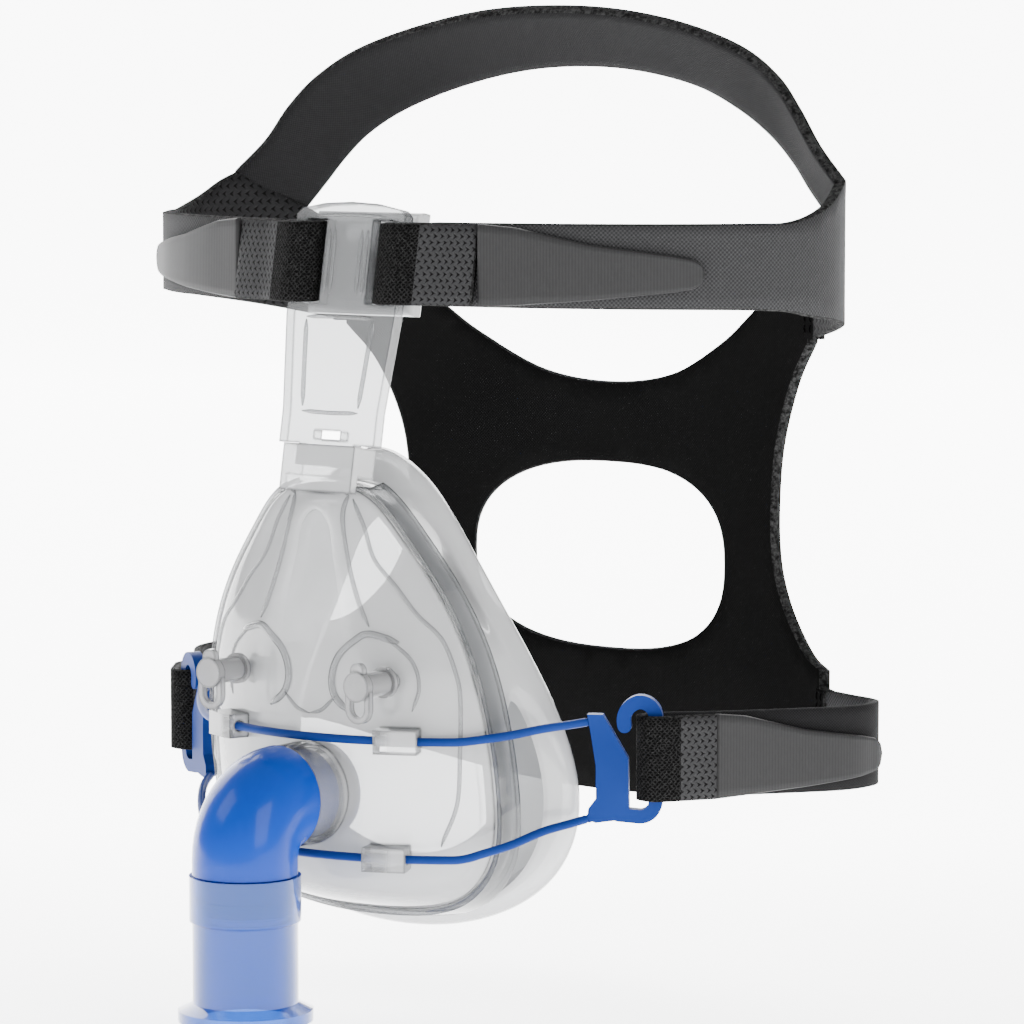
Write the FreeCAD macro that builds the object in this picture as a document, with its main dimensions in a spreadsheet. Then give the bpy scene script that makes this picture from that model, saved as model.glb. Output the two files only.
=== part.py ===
import FreeCAD, Part
import math
import os
import Sketcher

# Full-face breathing mask with headgear, worn pose, millimetres.
# The origin is the centre of the cushion's sealing plane.
# +X is the wearer's left, +Y points into the face and +Z is up.

V = FreeCAD.Vector
UP = V(0, 0, 1)
FORWARD = V(0, -1, 0)

# Driving dimensions. Heights count up from the seal centre, drops count down from it,
# and setbacks count forward from the sealing plane.
SIZES = {
    # rim, shell and cushion
    "rim_half_width": 41.2,
    "rim_top": 49.0,
    "rim_bottom": 53.0,
    "rim_setback": 18.0,
    "rim_lean": 0.15,
    "seal_lean": 0.08,
    "shell_setback": 35.8,
    "shell_wall": 2.4,
    "ring_wall": 1.3,
    "ring_flare": 1.0,
    "ring_depth": 6.5,
    "cushion_half_width": 52.5,
    "cushion_top": 56.0,
    "cushion_bottom": 59.0,
    "cushion_wall": 2.0,
    "face_opening_half_width": 31.0,
    "face_opening_top": 40.0,
    "face_opening_bottom": 42.0,
    "joint_gap": 0.3,
    # port, elbow and hose connector
    "port_drop": 22.8,
    "port_bore_radius": 10.7,
    "port_collar_wall": 1.3,
    "port_collar_setback": 45.7,
    "fit_clearance": 0.08,
    "elbow_radius": 12.2,
    "elbow_bore_radius": 9.2,
    "elbow_bend_radius": 12.5,
    "elbow_leg": 3.4,
    "spigot_length": 9.0,
    "bead_height": 0.35,
    "tube_bore_radius": 11.0,
    "tube_wall": 1.2,
    "tube_length": 33.6,
    "tube_collar_length": 10.4,
    "tube_collar_radius": 12.9,
    "tube_lip_radius": 15.6,
    "tube_lip_thickness": 2.6,
    # port caps
    "cap_half_spacing": 21.8,
    "cap_height": 4.5,
    "nipple_radius": 1.9,
    "nipple_bore_radius": 1.0,
    "nipple_length": 8.6,
    "cap_root_setback": 33.4,
    "cap_tip_setback": 45.2,
    "cap_neck_radius": 2.9,
    "cap_disc_radius": 3.5,
    "cap_disc_thickness": 2.2,
    "cap_loop_length": 8.6,
    "cap_loop_thickness": 1.5,
    # glider
    "bar_radius": 1.0,
    "bar_arc_radius": 62.5,
    "bar_setback": 38.9,
    "upper_bar_drop": 9.0,
    "lower_bar_drop": 36.4,
    "upper_bar_rise": 3.8,
    "lower_bar_rise": 8.8,
    "bar_flat_angle": 35.0,
    "bar_end_angle": 65.8,
    "clip_width": 10.0,
    "clip_wall": 1.5,
    "upper_clip_offset": 25.0,
    "lower_clip_offset": 22.5,
    "hook_thickness": 3.0,
    "hook_toe_angle": 30.0,
    "hook_plate_width": 9.1,
    "hook_pin_offset": 15.2,
    "hook_pin_thickness": 3.2,
    "hook_top_drop": 3.5,
    "hook_bottom_drop": 28.2,
    # forehead support and pad
    "support_lean_angle": 10.4,
    "support_height": 100.0,
    "socket_setback": 26.5,
    "socket_height": 57.7,
    "support_half_width": 16.0,
    "support_foot_half_width": 14.0,
    "support_top": 12.4,
    "support_arch": 1.6,
    "support_thickness": 3.0,
    "column_half_width": 6.75,
    "slot_outer": 12.6,
    "slot_half_height": 9.9,
    "tongue_half_width": 8.0,
    "tongue_length": 4.5,
    "socket_wall": 2.2,
    "pad_thickness": 5.0,
    "pad_gap": 4.8,
    # headgear
    "head_half_width": 94.5,
    "head_front_depth": 58.9,
    "head_back_depth": 49.0,
    "head_centre": 40.0,
    "laminate": 2.6,
    "strap_thickness": 2.2,
    "upper_strap_half_width": 9.3,
    "strap_layer_end": 34.0,
    "panel_waist": 57.5,
    "panel_top": 66.0,
    "panel_bottom": 37.5,
    "panel_hole_half_width": 39.5,
    "panel_hole_height": 22.4,
    "panel_hole_half_height": 24.0,
    "upper_seam_half_width": 72.0,
    "lower_seam_half_width": 79.0,
    "lower_strap_width": 19.4,
    "lower_strap_drop": 23.1,
    "crown_height": 160.5,
    "crown_width": 20.0,
    "tab_thickness": 1.4,
}

doc = FreeCAD.newDocument("breathing_mask")
sheet = doc.addObject("Spreadsheet::Sheet", "Sizes")
for row, (alias, value) in enumerate(SIZES.items(), start=1):
    sheet.set(f"A{row}", alias)
    sheet.set(f"B{row}", str(value))
    sheet.setAlias(f"B{row}", alias)
doc.recompute()


def size(alias):
    return float(getattr(sheet, alias))


def add_piece(label, shape):
    placement = shape.Placement
    piece = doc.addObject("Part::Feature", label)
    piece.Label = label
    piece.Shape = shape
    piece.Placement = placement
    return piece


def mirrored(shape):
    return shape.mirror(V(0, 0, 0), V(1, 0, 0))


def spline(points, closed=False):
    curve = Part.BSplineCurve()
    curve.interpolate(points, PeriodicFlag=closed)
    return curve.toShape()


def prism(edges, direction):
    return Part.Face(Part.Wire(Part.sortEdges(edges)[0])).extrude(direction)


def polygon(points):
    return Part.makePolygon(points + [points[0]]).Edges


# Mask body: every outline is a rounded triangle, wide over the mouth and narrow at the nose.
# Shares of the half width, and of the height from bottom to top.
RIM_OUTLINE = (
    (0.38, 0.01), (0.72, 0.055), (0.93, 0.15), (1.0, 0.30), (0.985, 0.45),
    (0.90, 0.62), (0.74, 0.76), (0.52, 0.885), (0.30, 0.975),
)
SEAL_OUTLINE = (
    (0.30, 0.012), (0.62, 0.06), (0.87, 0.145), (1.0, 0.265), (0.975, 0.40),
    (0.83, 0.54), (0.635, 0.68), (0.43, 0.83), (0.235, 0.95),
)


def outline(half_width, top, bottom, setback, lean, shares=RIM_OUTLINE):
    """Closed outline in a plane that leans forward by `lean` for each unit of height."""
    def point(x_share, z_share):
        z = -bottom + (top + bottom) * z_share
        return V(half_width * x_share, -setback - lean * (z + size("port_drop")), z)

    right = [point(x, z) for x, z in shares]
    left = [point(-x, z) for x, z in reversed(shares)]
    return Part.Wire(spline([point(0, 0)] + right + [point(0, 1)] + left, closed=True))


def shell_outlines(wall):
    """Outlines of the shell from rim to front, moved in by a wall."""
    rim, front = size("rim_setback"), size("shell_setback")
    depth = front - rim
    width, top, bottom = size("rim_half_width"), size("rim_top"), size("rim_bottom")
    steps = (
        # share of depth, share of width, drop of the top, rise of the bottom, lean
        (0.00, 1.00, 0.0, 0.0, size("rim_lean")),
        (0.34, 0.87, 0.8, 2.5, 0.08),
        (0.65, 0.68, 2.0, 6.0, 0.01),
        (0.87, 0.48, 3.5, 11.0, -0.03),
        (1.00, 0.24, 6.0, 18.0, -0.06),
    )
    for share, width_share, down, rise, lean in steps:
        setback = rim + depth * share - wall
        yield outline(width * width_share - wall, top - down - wall, bottom - rise - wall, setback, lean)


def bar_angle(x):
    return math.asin(x / size("bar_arc_radius"))


def bar_centre():
    """Centre of the circle that the glider's bars follow."""
    return size("bar_arc_radius") - size("bar_setback")


def bar_ring(z, radius):
    """A whole ring on the bars' circle, the space that a bar sweeps."""
    return Part.makeTorus(size("bar_arc_radius"), radius, V(0, bar_centre(), z), UP)


def clip(offset, z):
    """A hook that holds one bar against the shell."""
    reach = size("bar_radius") + size("joint_gap")
    outer = reach + size("clip_wall")
    angle = math.degrees(bar_angle(offset))
    half_angle = math.degrees(size("clip_width") / 2 / size("bar_arc_radius"))
    inner_radius = size("bar_arc_radius") - reach - 3.2
    outer_radius = size("bar_arc_radius") + outer
    start = Part.makeCylinder(outer_radius, 2 * outer, V(0, 0, -outer), UP, 2 * half_angle)
    start = start.cut(Part.makeCylinder(inner_radius, 2 * outer, V(0, 0, -outer), UP))
    start.rotate(V(0, 0, 0), UP, angle - half_angle - 90)
    start.translate(V(0, bar_centre(), z))
    return start.cut(bar_ring(z, reach))


def make_mask_shell():
    outer = Part.makeLoft(list(shell_outlines(0.0)), True, False)
    inner = Part.makeLoft(list(shell_outlines(size("shell_wall"))), True, False)
    port = V(0, 0, -size("port_drop"))
    collar_radius = size("port_bore_radius") + size("port_collar_wall")
    inside = size("shell_setback") - size("shell_wall") - 1.6
    collar_length = size("port_collar_setback") - inside
    collar = Part.makeCylinder(collar_radius, collar_length, port + FORWARD * inside, FORWARD)
    bore = Part.makeCylinder(size("port_bore_radius"), 60, port, FORWARD)
    body = outer.fuse(collar).cut(inner.cut(collar)).cut(bore)
    body = body.fuse(make_socket().cut(inner))
    for side in (1, -1):
        nipple_at = V(side * size("cap_half_spacing"), 0, size("cap_height"))
        root = nipple_at + FORWARD * (size("cap_root_setback") - 5)
        stub = Part.makeCylinder(size("nipple_radius"), size("nipple_length") + 5, root, FORWARD)
        hole = Part.makeCylinder(size("nipple_bore_radius"), 60, nipple_at, FORWARD)
        body = body.fuse(stub.cut(inner)).cut(hole)
        for offset, drop in (("upper_clip_offset", "upper_bar_drop"), ("lower_clip_offset", "lower_bar_drop")):
            hook = clip(side * size(offset), -size(drop))
            body = body.fuse(hook.cut(inner))
    return body


def support_setback():
    """Setback of the support's middle, over its slots."""
    lean = math.radians(size("support_lean_angle"))
    return size("socket_setback") - (size("support_height") - size("socket_height")) * math.tan(lean)


def support_foot():
    """Length of the support from its middle down to its foot."""
    lean = math.radians(size("support_lean_angle"))
    return (size("support_height") - size("socket_height")) / math.cos(lean)


def support_point(x, along, across=0.0):
    """A point of the leaning support: x sideways, along its height, across to the back."""
    lean = math.radians(size("support_lean_angle"))
    y = -support_setback() + along * math.sin(lean) + across * math.cos(lean)
    z = size("support_height") + along * math.cos(lean) - across * math.sin(lean)
    return V(x, y, z)


def support_block(half_width, low, high, front, back):
    """A block in the support's own leaning directions."""
    corners = [
        support_point(-half_width, low, front), support_point(half_width, low, front),
        support_point(half_width, low, back), support_point(-half_width, low, back),
    ]
    return prism(polygon(corners), support_point(0, high, front) - support_point(0, low, front))


def socket_block(clearance=0.0):
    """Outside of the socket at the top of the shell, with a clearance all round."""
    foot = -support_foot() - size("joint_gap")
    half = size("support_thickness") / 2 + size("joint_gap") + size("socket_wall") + clearance
    width = size("tongue_half_width") + size("joint_gap") + size("socket_wall") + clearance
    depth = size("tongue_length") + size("joint_gap") + size("socket_wall")
    return support_block(width, foot - depth - clearance, foot + clearance, -half, half)


def make_socket():
    """Socket at the top of the shell that takes the support's tongue."""
    gap = size("joint_gap")
    foot = -support_foot() - gap
    half = size("support_thickness") / 2 + gap
    width = size("tongue_half_width") + gap
    root = support_block(width + size("socket_wall"), foot - 11, foot, -half - size("socket_wall"), -half)
    pocket = support_block(width, foot - size("tongue_length") - gap, foot + 1, -half, half)
    return socket_block().fuse(root).cut(pocket)


def make_seal_frame():
    lean = size("rim_lean")
    gap = size("joint_gap")
    back = size("rim_setback") - size("ring_depth")
    front = size("rim_setback") - 0.2

    def ring(grow, setback):
        half_width = size("rim_half_width") + grow
        return outline(half_width, size("rim_top") + grow, size("rim_bottom") + grow, setback, lean)

    flare = size("ring_flare")
    outer_grow = gap + size("ring_wall")
    outer = Part.makeLoft([ring(outer_grow, front), ring(outer_grow + flare, back)], True, False)
    inner = Part.makeLoft([ring(gap, front + 1), ring(gap + flare, back - 0.1)], True, False)
    return outer.cut(inner).cut(socket_block(2 * gap + size("ring_wall")))


def make_cushion():
    """Hollow face cushion: a neck in the ring, a wide bellied wall and a flat sealing lip."""
    rim = size("rim_setback") - size("joint_gap")
    lean, seal_lean = size("rim_lean"), size("seal_lean")
    width, top, bottom = size("cushion_half_width"), size("cushion_top"), size("cushion_bottom")
    neck, wall = size("rim_half_width"), size("cushion_wall")
    seal = -seal_lean * size("port_drop")
    belly, shoulder = seal + 3.0, seal + 6.0
    outer = Part.makeLoft([
        outline(neck, size("rim_top"), size("rim_bottom"), rim, lean),
        outline(neck, size("rim_top"), size("rim_bottom"), rim - 3.5, lean),
        outline(neck + 0.2, size("rim_top") + 0.2, size("rim_bottom") + 0.2, rim - 7.6, 0.14),
        outline(width - 1.2, top - 0.4, bottom - 0.6, shoulder, seal_lean, SEAL_OUTLINE),
        outline(width, top, bottom, belly, seal_lean, SEAL_OUTLINE),
        outline(width - 4.0, top - 4.0, bottom - 4.0, seal, seal_lean, SEAL_OUTLINE),
    ], True, False)
    inner = Part.makeLoft([
        outline(neck - wall, size("rim_top") - wall, size("rim_bottom") - wall, rim + 1, lean),
        outline(neck + 0.8 - wall, size("rim_top") - wall, size("rim_bottom") + 0.8 - wall, rim - 6, 0.13),
        outline(width - 1.2 - wall, top - 0.6 - wall, bottom - 0.8 - wall, shoulder, seal_lean, SEAL_OUTLINE),
        outline(width - 4.5 - wall, top - 5 - wall, bottom - 4.5 - wall, seal + wall, seal_lean, SEAL_OUTLINE),
    ], True, False)
    mouth = outline(
        size("face_opening_half_width"), size("face_opening_top"), size("face_opening_bottom"),
        seal + 7.0, seal_lean, SEAL_OUTLINE)
    mouth_cut = Part.Face(mouth).extrude(V(0, 14, 0))
    return outer.cut(inner).cut(mouth_cut)


def make_elbow():
    """Elbow: a spigot held in the port, a right-angle bend and a spigot for the tube."""
    drop = size("port_drop")
    radius = size("elbow_radius")
    bend = size("elbow_bend_radius")
    face = size("port_collar_setback") + size("joint_gap")
    inside = size("shell_setback") - size("shell_wall") - 1.6 - size("joint_gap")
    lip = 1.4
    spigot_radius = size("port_bore_radius") - size("fit_clearance")
    axis = V(0, 0, -drop)
    root = Part.makeCylinder(spigot_radius, face + 1 - inside, axis + FORWARD * inside, FORWARD)
    lock_radius = size("port_bore_radius") + 0.8
    lock = Part.makeCylinder(lock_radius, lip, axis + FORWARD * (inside - lip), FORWARD)
    centre = V(0, -face, -drop - bend)
    turned = Part.makeTorus(bend, radius, V(0, 0, 0), UP, -180, 180, 90)
    hollow = Part.makeTorus(bend, size("elbow_bore_radius"), V(0, 0, 0), UP, -180, 180, 90)
    for piece in (turned, hollow):
        piece.rotate(V(0, 0, 0), V(0, 1, 0), -90)
        piece.rotate(V(0, 0, 0), V(1, 0, 0), 90)
        piece.translate(centre)
    leg_at = V(0, -face - bend, -drop - bend)
    leg = Part.makeCylinder(radius, size("elbow_leg"), leg_at, -UP)
    pin_length = size("elbow_leg") + size("spigot_length")
    pin = Part.makeCylinder(size("tube_bore_radius") - size("fit_clearance"), pin_length, leg_at, -UP)
    bead_at = leg_at - UP * (pin_length - 3.0)
    bead_radius = size("tube_bore_radius") + size("bead_height") - size("fit_clearance")
    bead = Part.makeCylinder(bead_radius, 1.2, bead_at, -UP)
    solid = root.fuse([lock, turned, leg, pin, bead])
    port_bore = Part.makeCylinder(size("elbow_bore_radius"), 60, axis + FORWARD * face, -FORWARD)
    leg_bore = Part.makeCylinder(size("elbow_bore_radius"), 60, leg_at, -UP)
    return solid.cut(port_bore.fuse([hollow, leg_bore])).removeSplitter()


def tube_axis():
    """Distance in front of the seal plane of the hose tube's axis."""
    return size("port_collar_setback") + size("joint_gap") + size("elbow_bend_radius")


def tube_top():
    """Height of the tube collar's upper face."""
    return -size("port_drop") - size("elbow_bend_radius") - size("elbow_leg") - size("joint_gap")


def turned_body(label, profile, at, direction):
    """A turned piece. The profile holds (radius, height) pairs of expressions on the sheet."""
    body = doc.addObject("PartDesign::Body", label)
    body.Label = label
    sketch = bound_sketch(body, label + "_profile", "XZ_Plane", profile)
    turn = body.newObject("PartDesign::Revolution", label + "_turn")
    turn.Profile = sketch
    turn.ReferenceAxis = (sketch, ["V_Axis"])
    turn.Angle = 360
    body.Placement = FreeCAD.Placement(at, FreeCAD.Rotation(UP, direction))
    return body


def bound_sketch(body, name, plane_role, corners):
    """Closed outline of straight lines whose corners are expressions on the sheet."""
    sketch = body.newObject("Sketcher::SketchObject", name)
    plane = next(f for f in body.Origin.OriginFeatures if f.Role == plane_role)
    sketch.AttachmentSupport = [(plane, "")]
    sketch.MapMode = "FlatFace"
    numbers = [tuple(float(sheet.evalExpression(e)) for e in corner) for corner in corners]
    count = len(corners)
    for i in range(count):
        sketch.addGeometry(Part.LineSegment(V(*numbers[i], 0), V(*numbers[(i + 1) % count], 0)))
    for i in range(count):
        sketch.addConstraint(Sketcher.Constraint("Coincident", i, 2, (i + 1) % count, 1))
    for i, corner in enumerate(corners):
        for kind, number, expression in zip(("DistanceX", "DistanceY"), numbers[i], corner):
            index = sketch.addConstraint(Sketcher.Constraint(kind, -1, 1, i, 1, number))
            sketch.setExpression(f"Constraints[{index}]", expression)
    return sketch


def make_swivel_tube():
    """Hose connector. Heights run down from the collar's upper face."""
    outer = "Sizes.tube_bore_radius + Sizes.tube_wall"
    seat = "Sizes.tube_bore_radius"
    groove = "Sizes.tube_bore_radius + Sizes.bead_height"
    bead = "Sizes.spigot_length - 3 - Sizes.joint_gap"
    stop = "Sizes.spigot_length + 0.2"
    profile = (
        (seat, "0"),
        ("Sizes.tube_collar_radius", "0"),
        ("Sizes.tube_collar_radius", "Sizes.tube_collar_length"),
        (outer, "Sizes.tube_collar_length + 0.5"),
        (outer, "Sizes.tube_length - Sizes.tube_lip_thickness - 1.6"),
        ("Sizes.tube_lip_radius", "Sizes.tube_length - Sizes.tube_lip_thickness"),
        ("Sizes.tube_lip_radius", "Sizes.tube_length"),
        (seat, "Sizes.tube_length"),
        (seat, stop + " + 1.2"),
        ("Sizes.tube_bore_radius - 1", stop + " + 1.2"),
        ("Sizes.tube_bore_radius - 1", stop),
        (seat, stop),
        (seat, bead + " + 1.4"),
        (groove, bead + " + 1.4"),
        (groove, bead + " - 0.2"),
        (seat, bead + " - 0.2"),
    )
    return turned_body("swivel_tube", profile, V(0, -tube_axis(), tube_top()), -UP)


def make_port_cap(label, side):
    """Soft cap on a nipple: neck, disc, pull tab above and a loop below."""
    root, tip = size("cap_root_setback") + size("joint_gap"), size("cap_tip_setback")
    at = V(side * size("cap_half_spacing"), 0, size("cap_height"))
    disc_at = at + FORWARD * (tip - size("cap_disc_thickness"))
    disc = Part.makeCylinder(size("cap_disc_radius"), size("cap_disc_thickness"), disc_at, FORWARD)
    neck = Part.makeCylinder(size("cap_neck_radius"), tip - root - 0.5, at + FORWARD * root, FORWARD)
    foot = Part.makeCylinder(size("cap_neck_radius") + 0.7, 1.4, at + FORWARD * root, FORWARD)
    tab = Part.makeCylinder(1.9, 1.6, disc_at + UP * 3.6 + FORWARD * 0.2, FORWARD)
    thickness = size("cap_loop_thickness")
    bend = size("cap_disc_radius") - thickness / 2
    loop_at = disc_at - UP * (size("cap_loop_length") - bend - thickness / 2)
    legs = []
    for hand in (1, -1):
        top = disc_at + V(hand * bend, 0, -1.0)
        foot_z = loop_at.z
        leg = Part.makeBox(thickness, thickness, top.z - foot_z, V(top.x - thickness / 2, top.y - thickness, foot_z))
        legs.append(leg)
    ring = Part.makeCylinder(bend + thickness / 2, thickness, loop_at, FORWARD)
    ring = ring.cut(Part.makeCylinder(bend - thickness / 2, thickness, loop_at, FORWARD))
    ring = ring.cut(Part.makeBox(20, 20, 20, V(loop_at.x - 10, loop_at.y - 10, loop_at.z)))
    socket_radius = size("nipple_radius") + size("fit_clearance")
    socket = Part.makeCylinder(socket_radius, size("nipple_length") + 0.5, at + FORWARD * (root - 0.5), FORWARD)
    shape = neck.fuse([disc, foot, tab, ring] + legs).cut(socket)
    return add_piece(label, shape)


# Glider: one moulding with two bars and a hook plate at each end.
def bar_point(angle, z):
    """Point on the bars' circle, at an angle in degrees from the mid plane."""
    turn = math.radians(angle)
    radius = size("bar_arc_radius")
    return V(radius * math.sin(turn), bar_centre() - radius * math.cos(turn), z)


def make_bar(z, rise):
    """Bar: level across the shell, then rising evenly to each hook plate."""
    flat, end = size("bar_flat_angle"), size("bar_end_angle") + 1.4
    shares = (0.0, 0.2, 0.4, 0.6, 0.8, 1.0)
    right = [bar_point(flat + (end - flat) * share, z + rise * share * (1.35 - 0.35 * share) * min(1, 0.4 + share))
             for share in shares]
    left = [V(-p.x, p.y, p.z) for p in reversed(right)]
    middle = Part.Arc(left[-1], bar_point(0, z), right[0]).toShape()
    turn = math.radians(flat)
    tail = Part.BSplineCurve()
    outer_tangent = (left[1] - left[0]).normalize() * 12
    tail.interpolate(left, InitialTangent=outer_tangent, FinalTangent=V(math.cos(turn), -math.sin(turn), 0) * 12)
    tail_left = tail.toShape()
    tail_right = tail_left.mirror(V(0, 0, 0), V(1, 0, 0))
    path = Part.Wire([tail_left, middle, tail_right.reversed()])
    profile = Part.Wire(Part.makeCircle(size("bar_radius"), left[0], outer_tangent))
    return path.makePipeShell([profile], True, True)


def hook_root():
    """Plan place of a hook plate's inner edge, at the bars' ends."""
    return bar_point(size("bar_end_angle"), 0)


def make_hook():
    half = size("hook_pin_thickness") / 2
    width, pin = size("hook_plate_width"), size("hook_pin_offset")
    top, bottom = -size("hook_top_drop"), -size("hook_bottom_drop")
    thickness = V(0, size("hook_thickness"), 0)
    back = -size("hook_thickness") / 2

    def at(s, z):
        return V(s, back, z)

    plate = prism(polygon([
        at(-0.6, top), at(3.0, top), at(width - 0.2, top - 10.2), at(width, bottom + 3.5),
        at(width, bottom), at(5.6, bottom), at(1.4, bottom - 0.6), at(-0.6, bottom + 0.2),
        at(-0.4, bottom + 2.6), at(1.4, bottom + 5.0), at(1.4, top - 12.0), at(0.2, top - 4.4),
    ]), thickness)
    foot = bottom + half - 0.6
    path = Part.Wire([
        Part.makeLine(at(6.6, foot + 0.4), at(pin - 3.6, foot)),
        Part.Arc(at(pin - 3.6, foot), at(pin - 0.9, foot + 1.2), at(pin, foot + 3.8)).toShape(),
        Part.makeLine(at(pin, foot + 3.8), at(pin, top - 0.2)),
        Part.Arc(at(pin, top - 0.2), at(pin - 1.3, top + 2.2), at(pin - 4.0, top + 3.0)).toShape(),
        Part.Arc(at(pin - 4.0, top + 3.0), at(pin - 6.6, top + 1.2), at(pin - 7.2, top - 2.6)).toShape(),
    ])
    outline_wire = path.makeOffset2D(half)
    curl = Part.Face(outline_wire).extrude(thickness)
    return plate.fuse(curl)


def make_glider():
    upper = make_bar(-size("upper_bar_drop"), size("upper_bar_rise"))
    lower = make_bar(-size("lower_bar_drop"), size("lower_bar_rise"))
    hook = make_hook()
    hook.rotate(V(0, 0, 0), UP, size("hook_toe_angle"))
    hook.translate(hook_root())
    return upper.fuse([lower, hook, mirrored(hook)])


def hook_pin():
    """Plan position of the right hook's pin."""
    toe = math.radians(size("hook_toe_angle"))
    return hook_root() + V(math.cos(toe), math.sin(toe), 0) * size("hook_pin_offset")


# Forehead support, drawn in its own leaning frame.
def make_forehead_support():
    body = doc.addObject("PartDesign::Body", "forehead_support")
    body.Label = "forehead_support"
    half, foot_half = "Sizes.support_half_width", "Sizes.support_foot_half_width"
    tongue = "Sizes.tongue_half_width"
    top = "Sizes.support_top"
    foot = "(Sizes.socket_height - Sizes.support_height) / cos(Sizes.support_lean_angle * 1deg)"
    tongue_end = foot + " - Sizes.tongue_length"
    arch = "Sizes.support_top + Sizes.support_arch"
    right = [
        (tongue, tongue_end), (tongue, foot), (foot_half, foot), (foot_half, foot + " + 8"),
        (half, "-Sizes.slot_half_height - 3"), (half, top + " - 1.5"),
        (half + " - 1.5", top), (half + " / 2", arch + " - 0.4"),
    ]
    left = [("-(" + x + ")", z) for x, z in reversed(right)]
    outline_sketch = bound_sketch(body, "support_outline", "XZ_Plane", right + [("0", arch)] + left)
    pad = body.newObject("PartDesign::Pad", "support_plate")
    pad.Profile = outline_sketch
    pad.Midplane = True
    pad.setExpression("Length", "Sizes.support_thickness")
    for side, sign in (("right", ""), ("left", "-")):
        inner, outer = sign + "Sizes.column_half_width", sign + "Sizes.slot_outer"
        low, high = "-Sizes.slot_half_height", "Sizes.slot_half_height"
        slot = bound_sketch(body, side + "_slot", "XZ_Plane",
                            [(inner, low), (outer, low), (outer, high), (inner, high)])
        cut_through(body, slot, side + "_slot_cut")
    window = bound_sketch(body, "foot_window", "XZ_Plane", [
        ("-3.8", foot + " + 1.2"), ("3.8", foot + " + 1.2"), ("3.8", foot + " + 3.2"), ("-3.8", foot + " + 3.2")])
    cut_through(body, window, "foot_window_cut")
    lean = FreeCAD.Rotation(V(1, 0, 0), -size("support_lean_angle"))
    body.Placement = FreeCAD.Placement(V(0, -support_setback(), size("support_height")), lean)
    return body


def cut_through(body, sketch, name):
    pocket = body.newObject("PartDesign::Pocket", name)
    pocket.Profile = sketch
    pocket.Midplane = True
    pocket.Type = "Length"
    pocket.setExpression("Length", "4 * Sizes.support_thickness")
    return pocket


def make_forehead_pad():
    """Soft pad behind the T: a crowned block with a stem to the column."""
    front, back = size("pad_gap"), size("pad_gap") + size("pad_thickness")
    half = size("support_half_width") - 0.5
    low, high = -size("slot_half_height") - 1.5, size("support_top") + 0.4
    block = support_block(half, low, high, front, back)
    long_edges = [e for e in block.Edges if e.Length > 1.5 * size("pad_thickness")]
    block = block.makeFillet(1.6, long_edges)
    stem = support_block(size("column_half_width") - 1.2, low + 3, high - 3,
                         size("support_thickness") / 2 + size("joint_gap"), front + 1)
    return block.fuse(stem)


# Headgear: laminate that follows the head, a front and a back half ellipse of one width.
def head_point(degrees, inset=0.0):
    """Plan point at an angle from the wearer's left, negative in front of the ears."""
    angle = math.radians(degrees)
    depth = size("head_back_depth") if degrees > 0 else size("head_front_depth")
    x = (size("head_half_width") - inset) * math.cos(angle)
    return V(x, size("head_centre") + (depth - inset) * math.sin(angle), 0)


def head_angle(x):
    """Angle, in degrees, of a distance from the mid plane."""
    return math.degrees(math.acos(x / size("head_half_width")))


def half_ellipse(depth, inset, low, hand):
    """Solid half disc of the head's plan, in front of or behind the widest place."""
    width = size("head_half_width") - inset
    centre = V(0, size("head_centre"), low)
    reach = depth - inset
    curve = Part.Ellipse(centre, width, reach)
    disc = Part.Face(Part.Wire(curve.toShape())).extrude(UP * 200)
    half = Part.makeBox(400, 200, 400, V(-200, 0 if hand > 0 else -200, -200) + centre)
    return disc.common(half)


def head_wall():
    """The laminate's wall all round the head, taller than every piece cut from it."""
    low = -60.0
    solids = []
    for step in (0.0, size("laminate")):
        back = half_ellipse(size("head_back_depth"), step, low, 1)
        front = half_ellipse(size("head_front_depth"), step, low, -1)
        solids.append(back.fuse(front))
    return solids[0].cut(solids[1])


def band_face(points, thickness):
    """Flat strip of even thickness along plan points."""
    sides = []
    for hand in (1, -1):
        shifted = []
        for i, p in enumerate(points):
            along = points[min(i + 1, len(points) - 1)] - points[max(i - 1, 0)]
            along.normalize()
            shifted.append(p + V(-along.y, along.x, 0) * (hand * thickness / 2))
        sides.append(shifted)
    edges = [spline(sides[0]), spline(sides[1])]
    edges.append(Part.makeLine(sides[0][0], sides[1][0]))
    edges.append(Part.makeLine(sides[0][-1], sides[1][-1]))
    return Part.Face(Part.Wire(Part.sortEdges(edges)[0]))


def upper_loop_points():
    """Plan points of the upper strap round the support's outer bar, front layer first."""
    thickness = size("strap_thickness")
    loop = size("support_thickness") / 2 + 0.6 + thickness / 2
    bar = V(size("slot_outer") + 0.4, -support_setback(), 0)
    end = size("strap_layer_end")
    outside = thickness / 2 + 0.35
    points = [head_point(-head_angle(x), -outside) for x in (end, end - 5, end - 10)]
    points.append(V(bar.x + 3.6, bar.y - loop + 0.1, 0))
    for degrees in (-90, -130, -180, -230, -270):
        angle = math.radians(degrees)
        points.append(bar + V(math.cos(angle), math.sin(angle), 0) * loop)
    points.append(V(bar.x + 5.0, bar.y + loop - 0.1, 0))
    points.append(head_point(-head_angle(size("slot_outer") + 12), size("laminate") / 2))
    return points


def lobe_tip():
    """Front end of the seam between the side piece and the crown strap."""
    return V(0, size("head_centre") + 18, size("support_height") + size("upper_strap_half_width") + 9)


def lobe_root():
    """Back end of the same seam."""
    return V(0, size("head_centre") + 26.5, size("support_height") + size("upper_strap_half_width") - 1)


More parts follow.
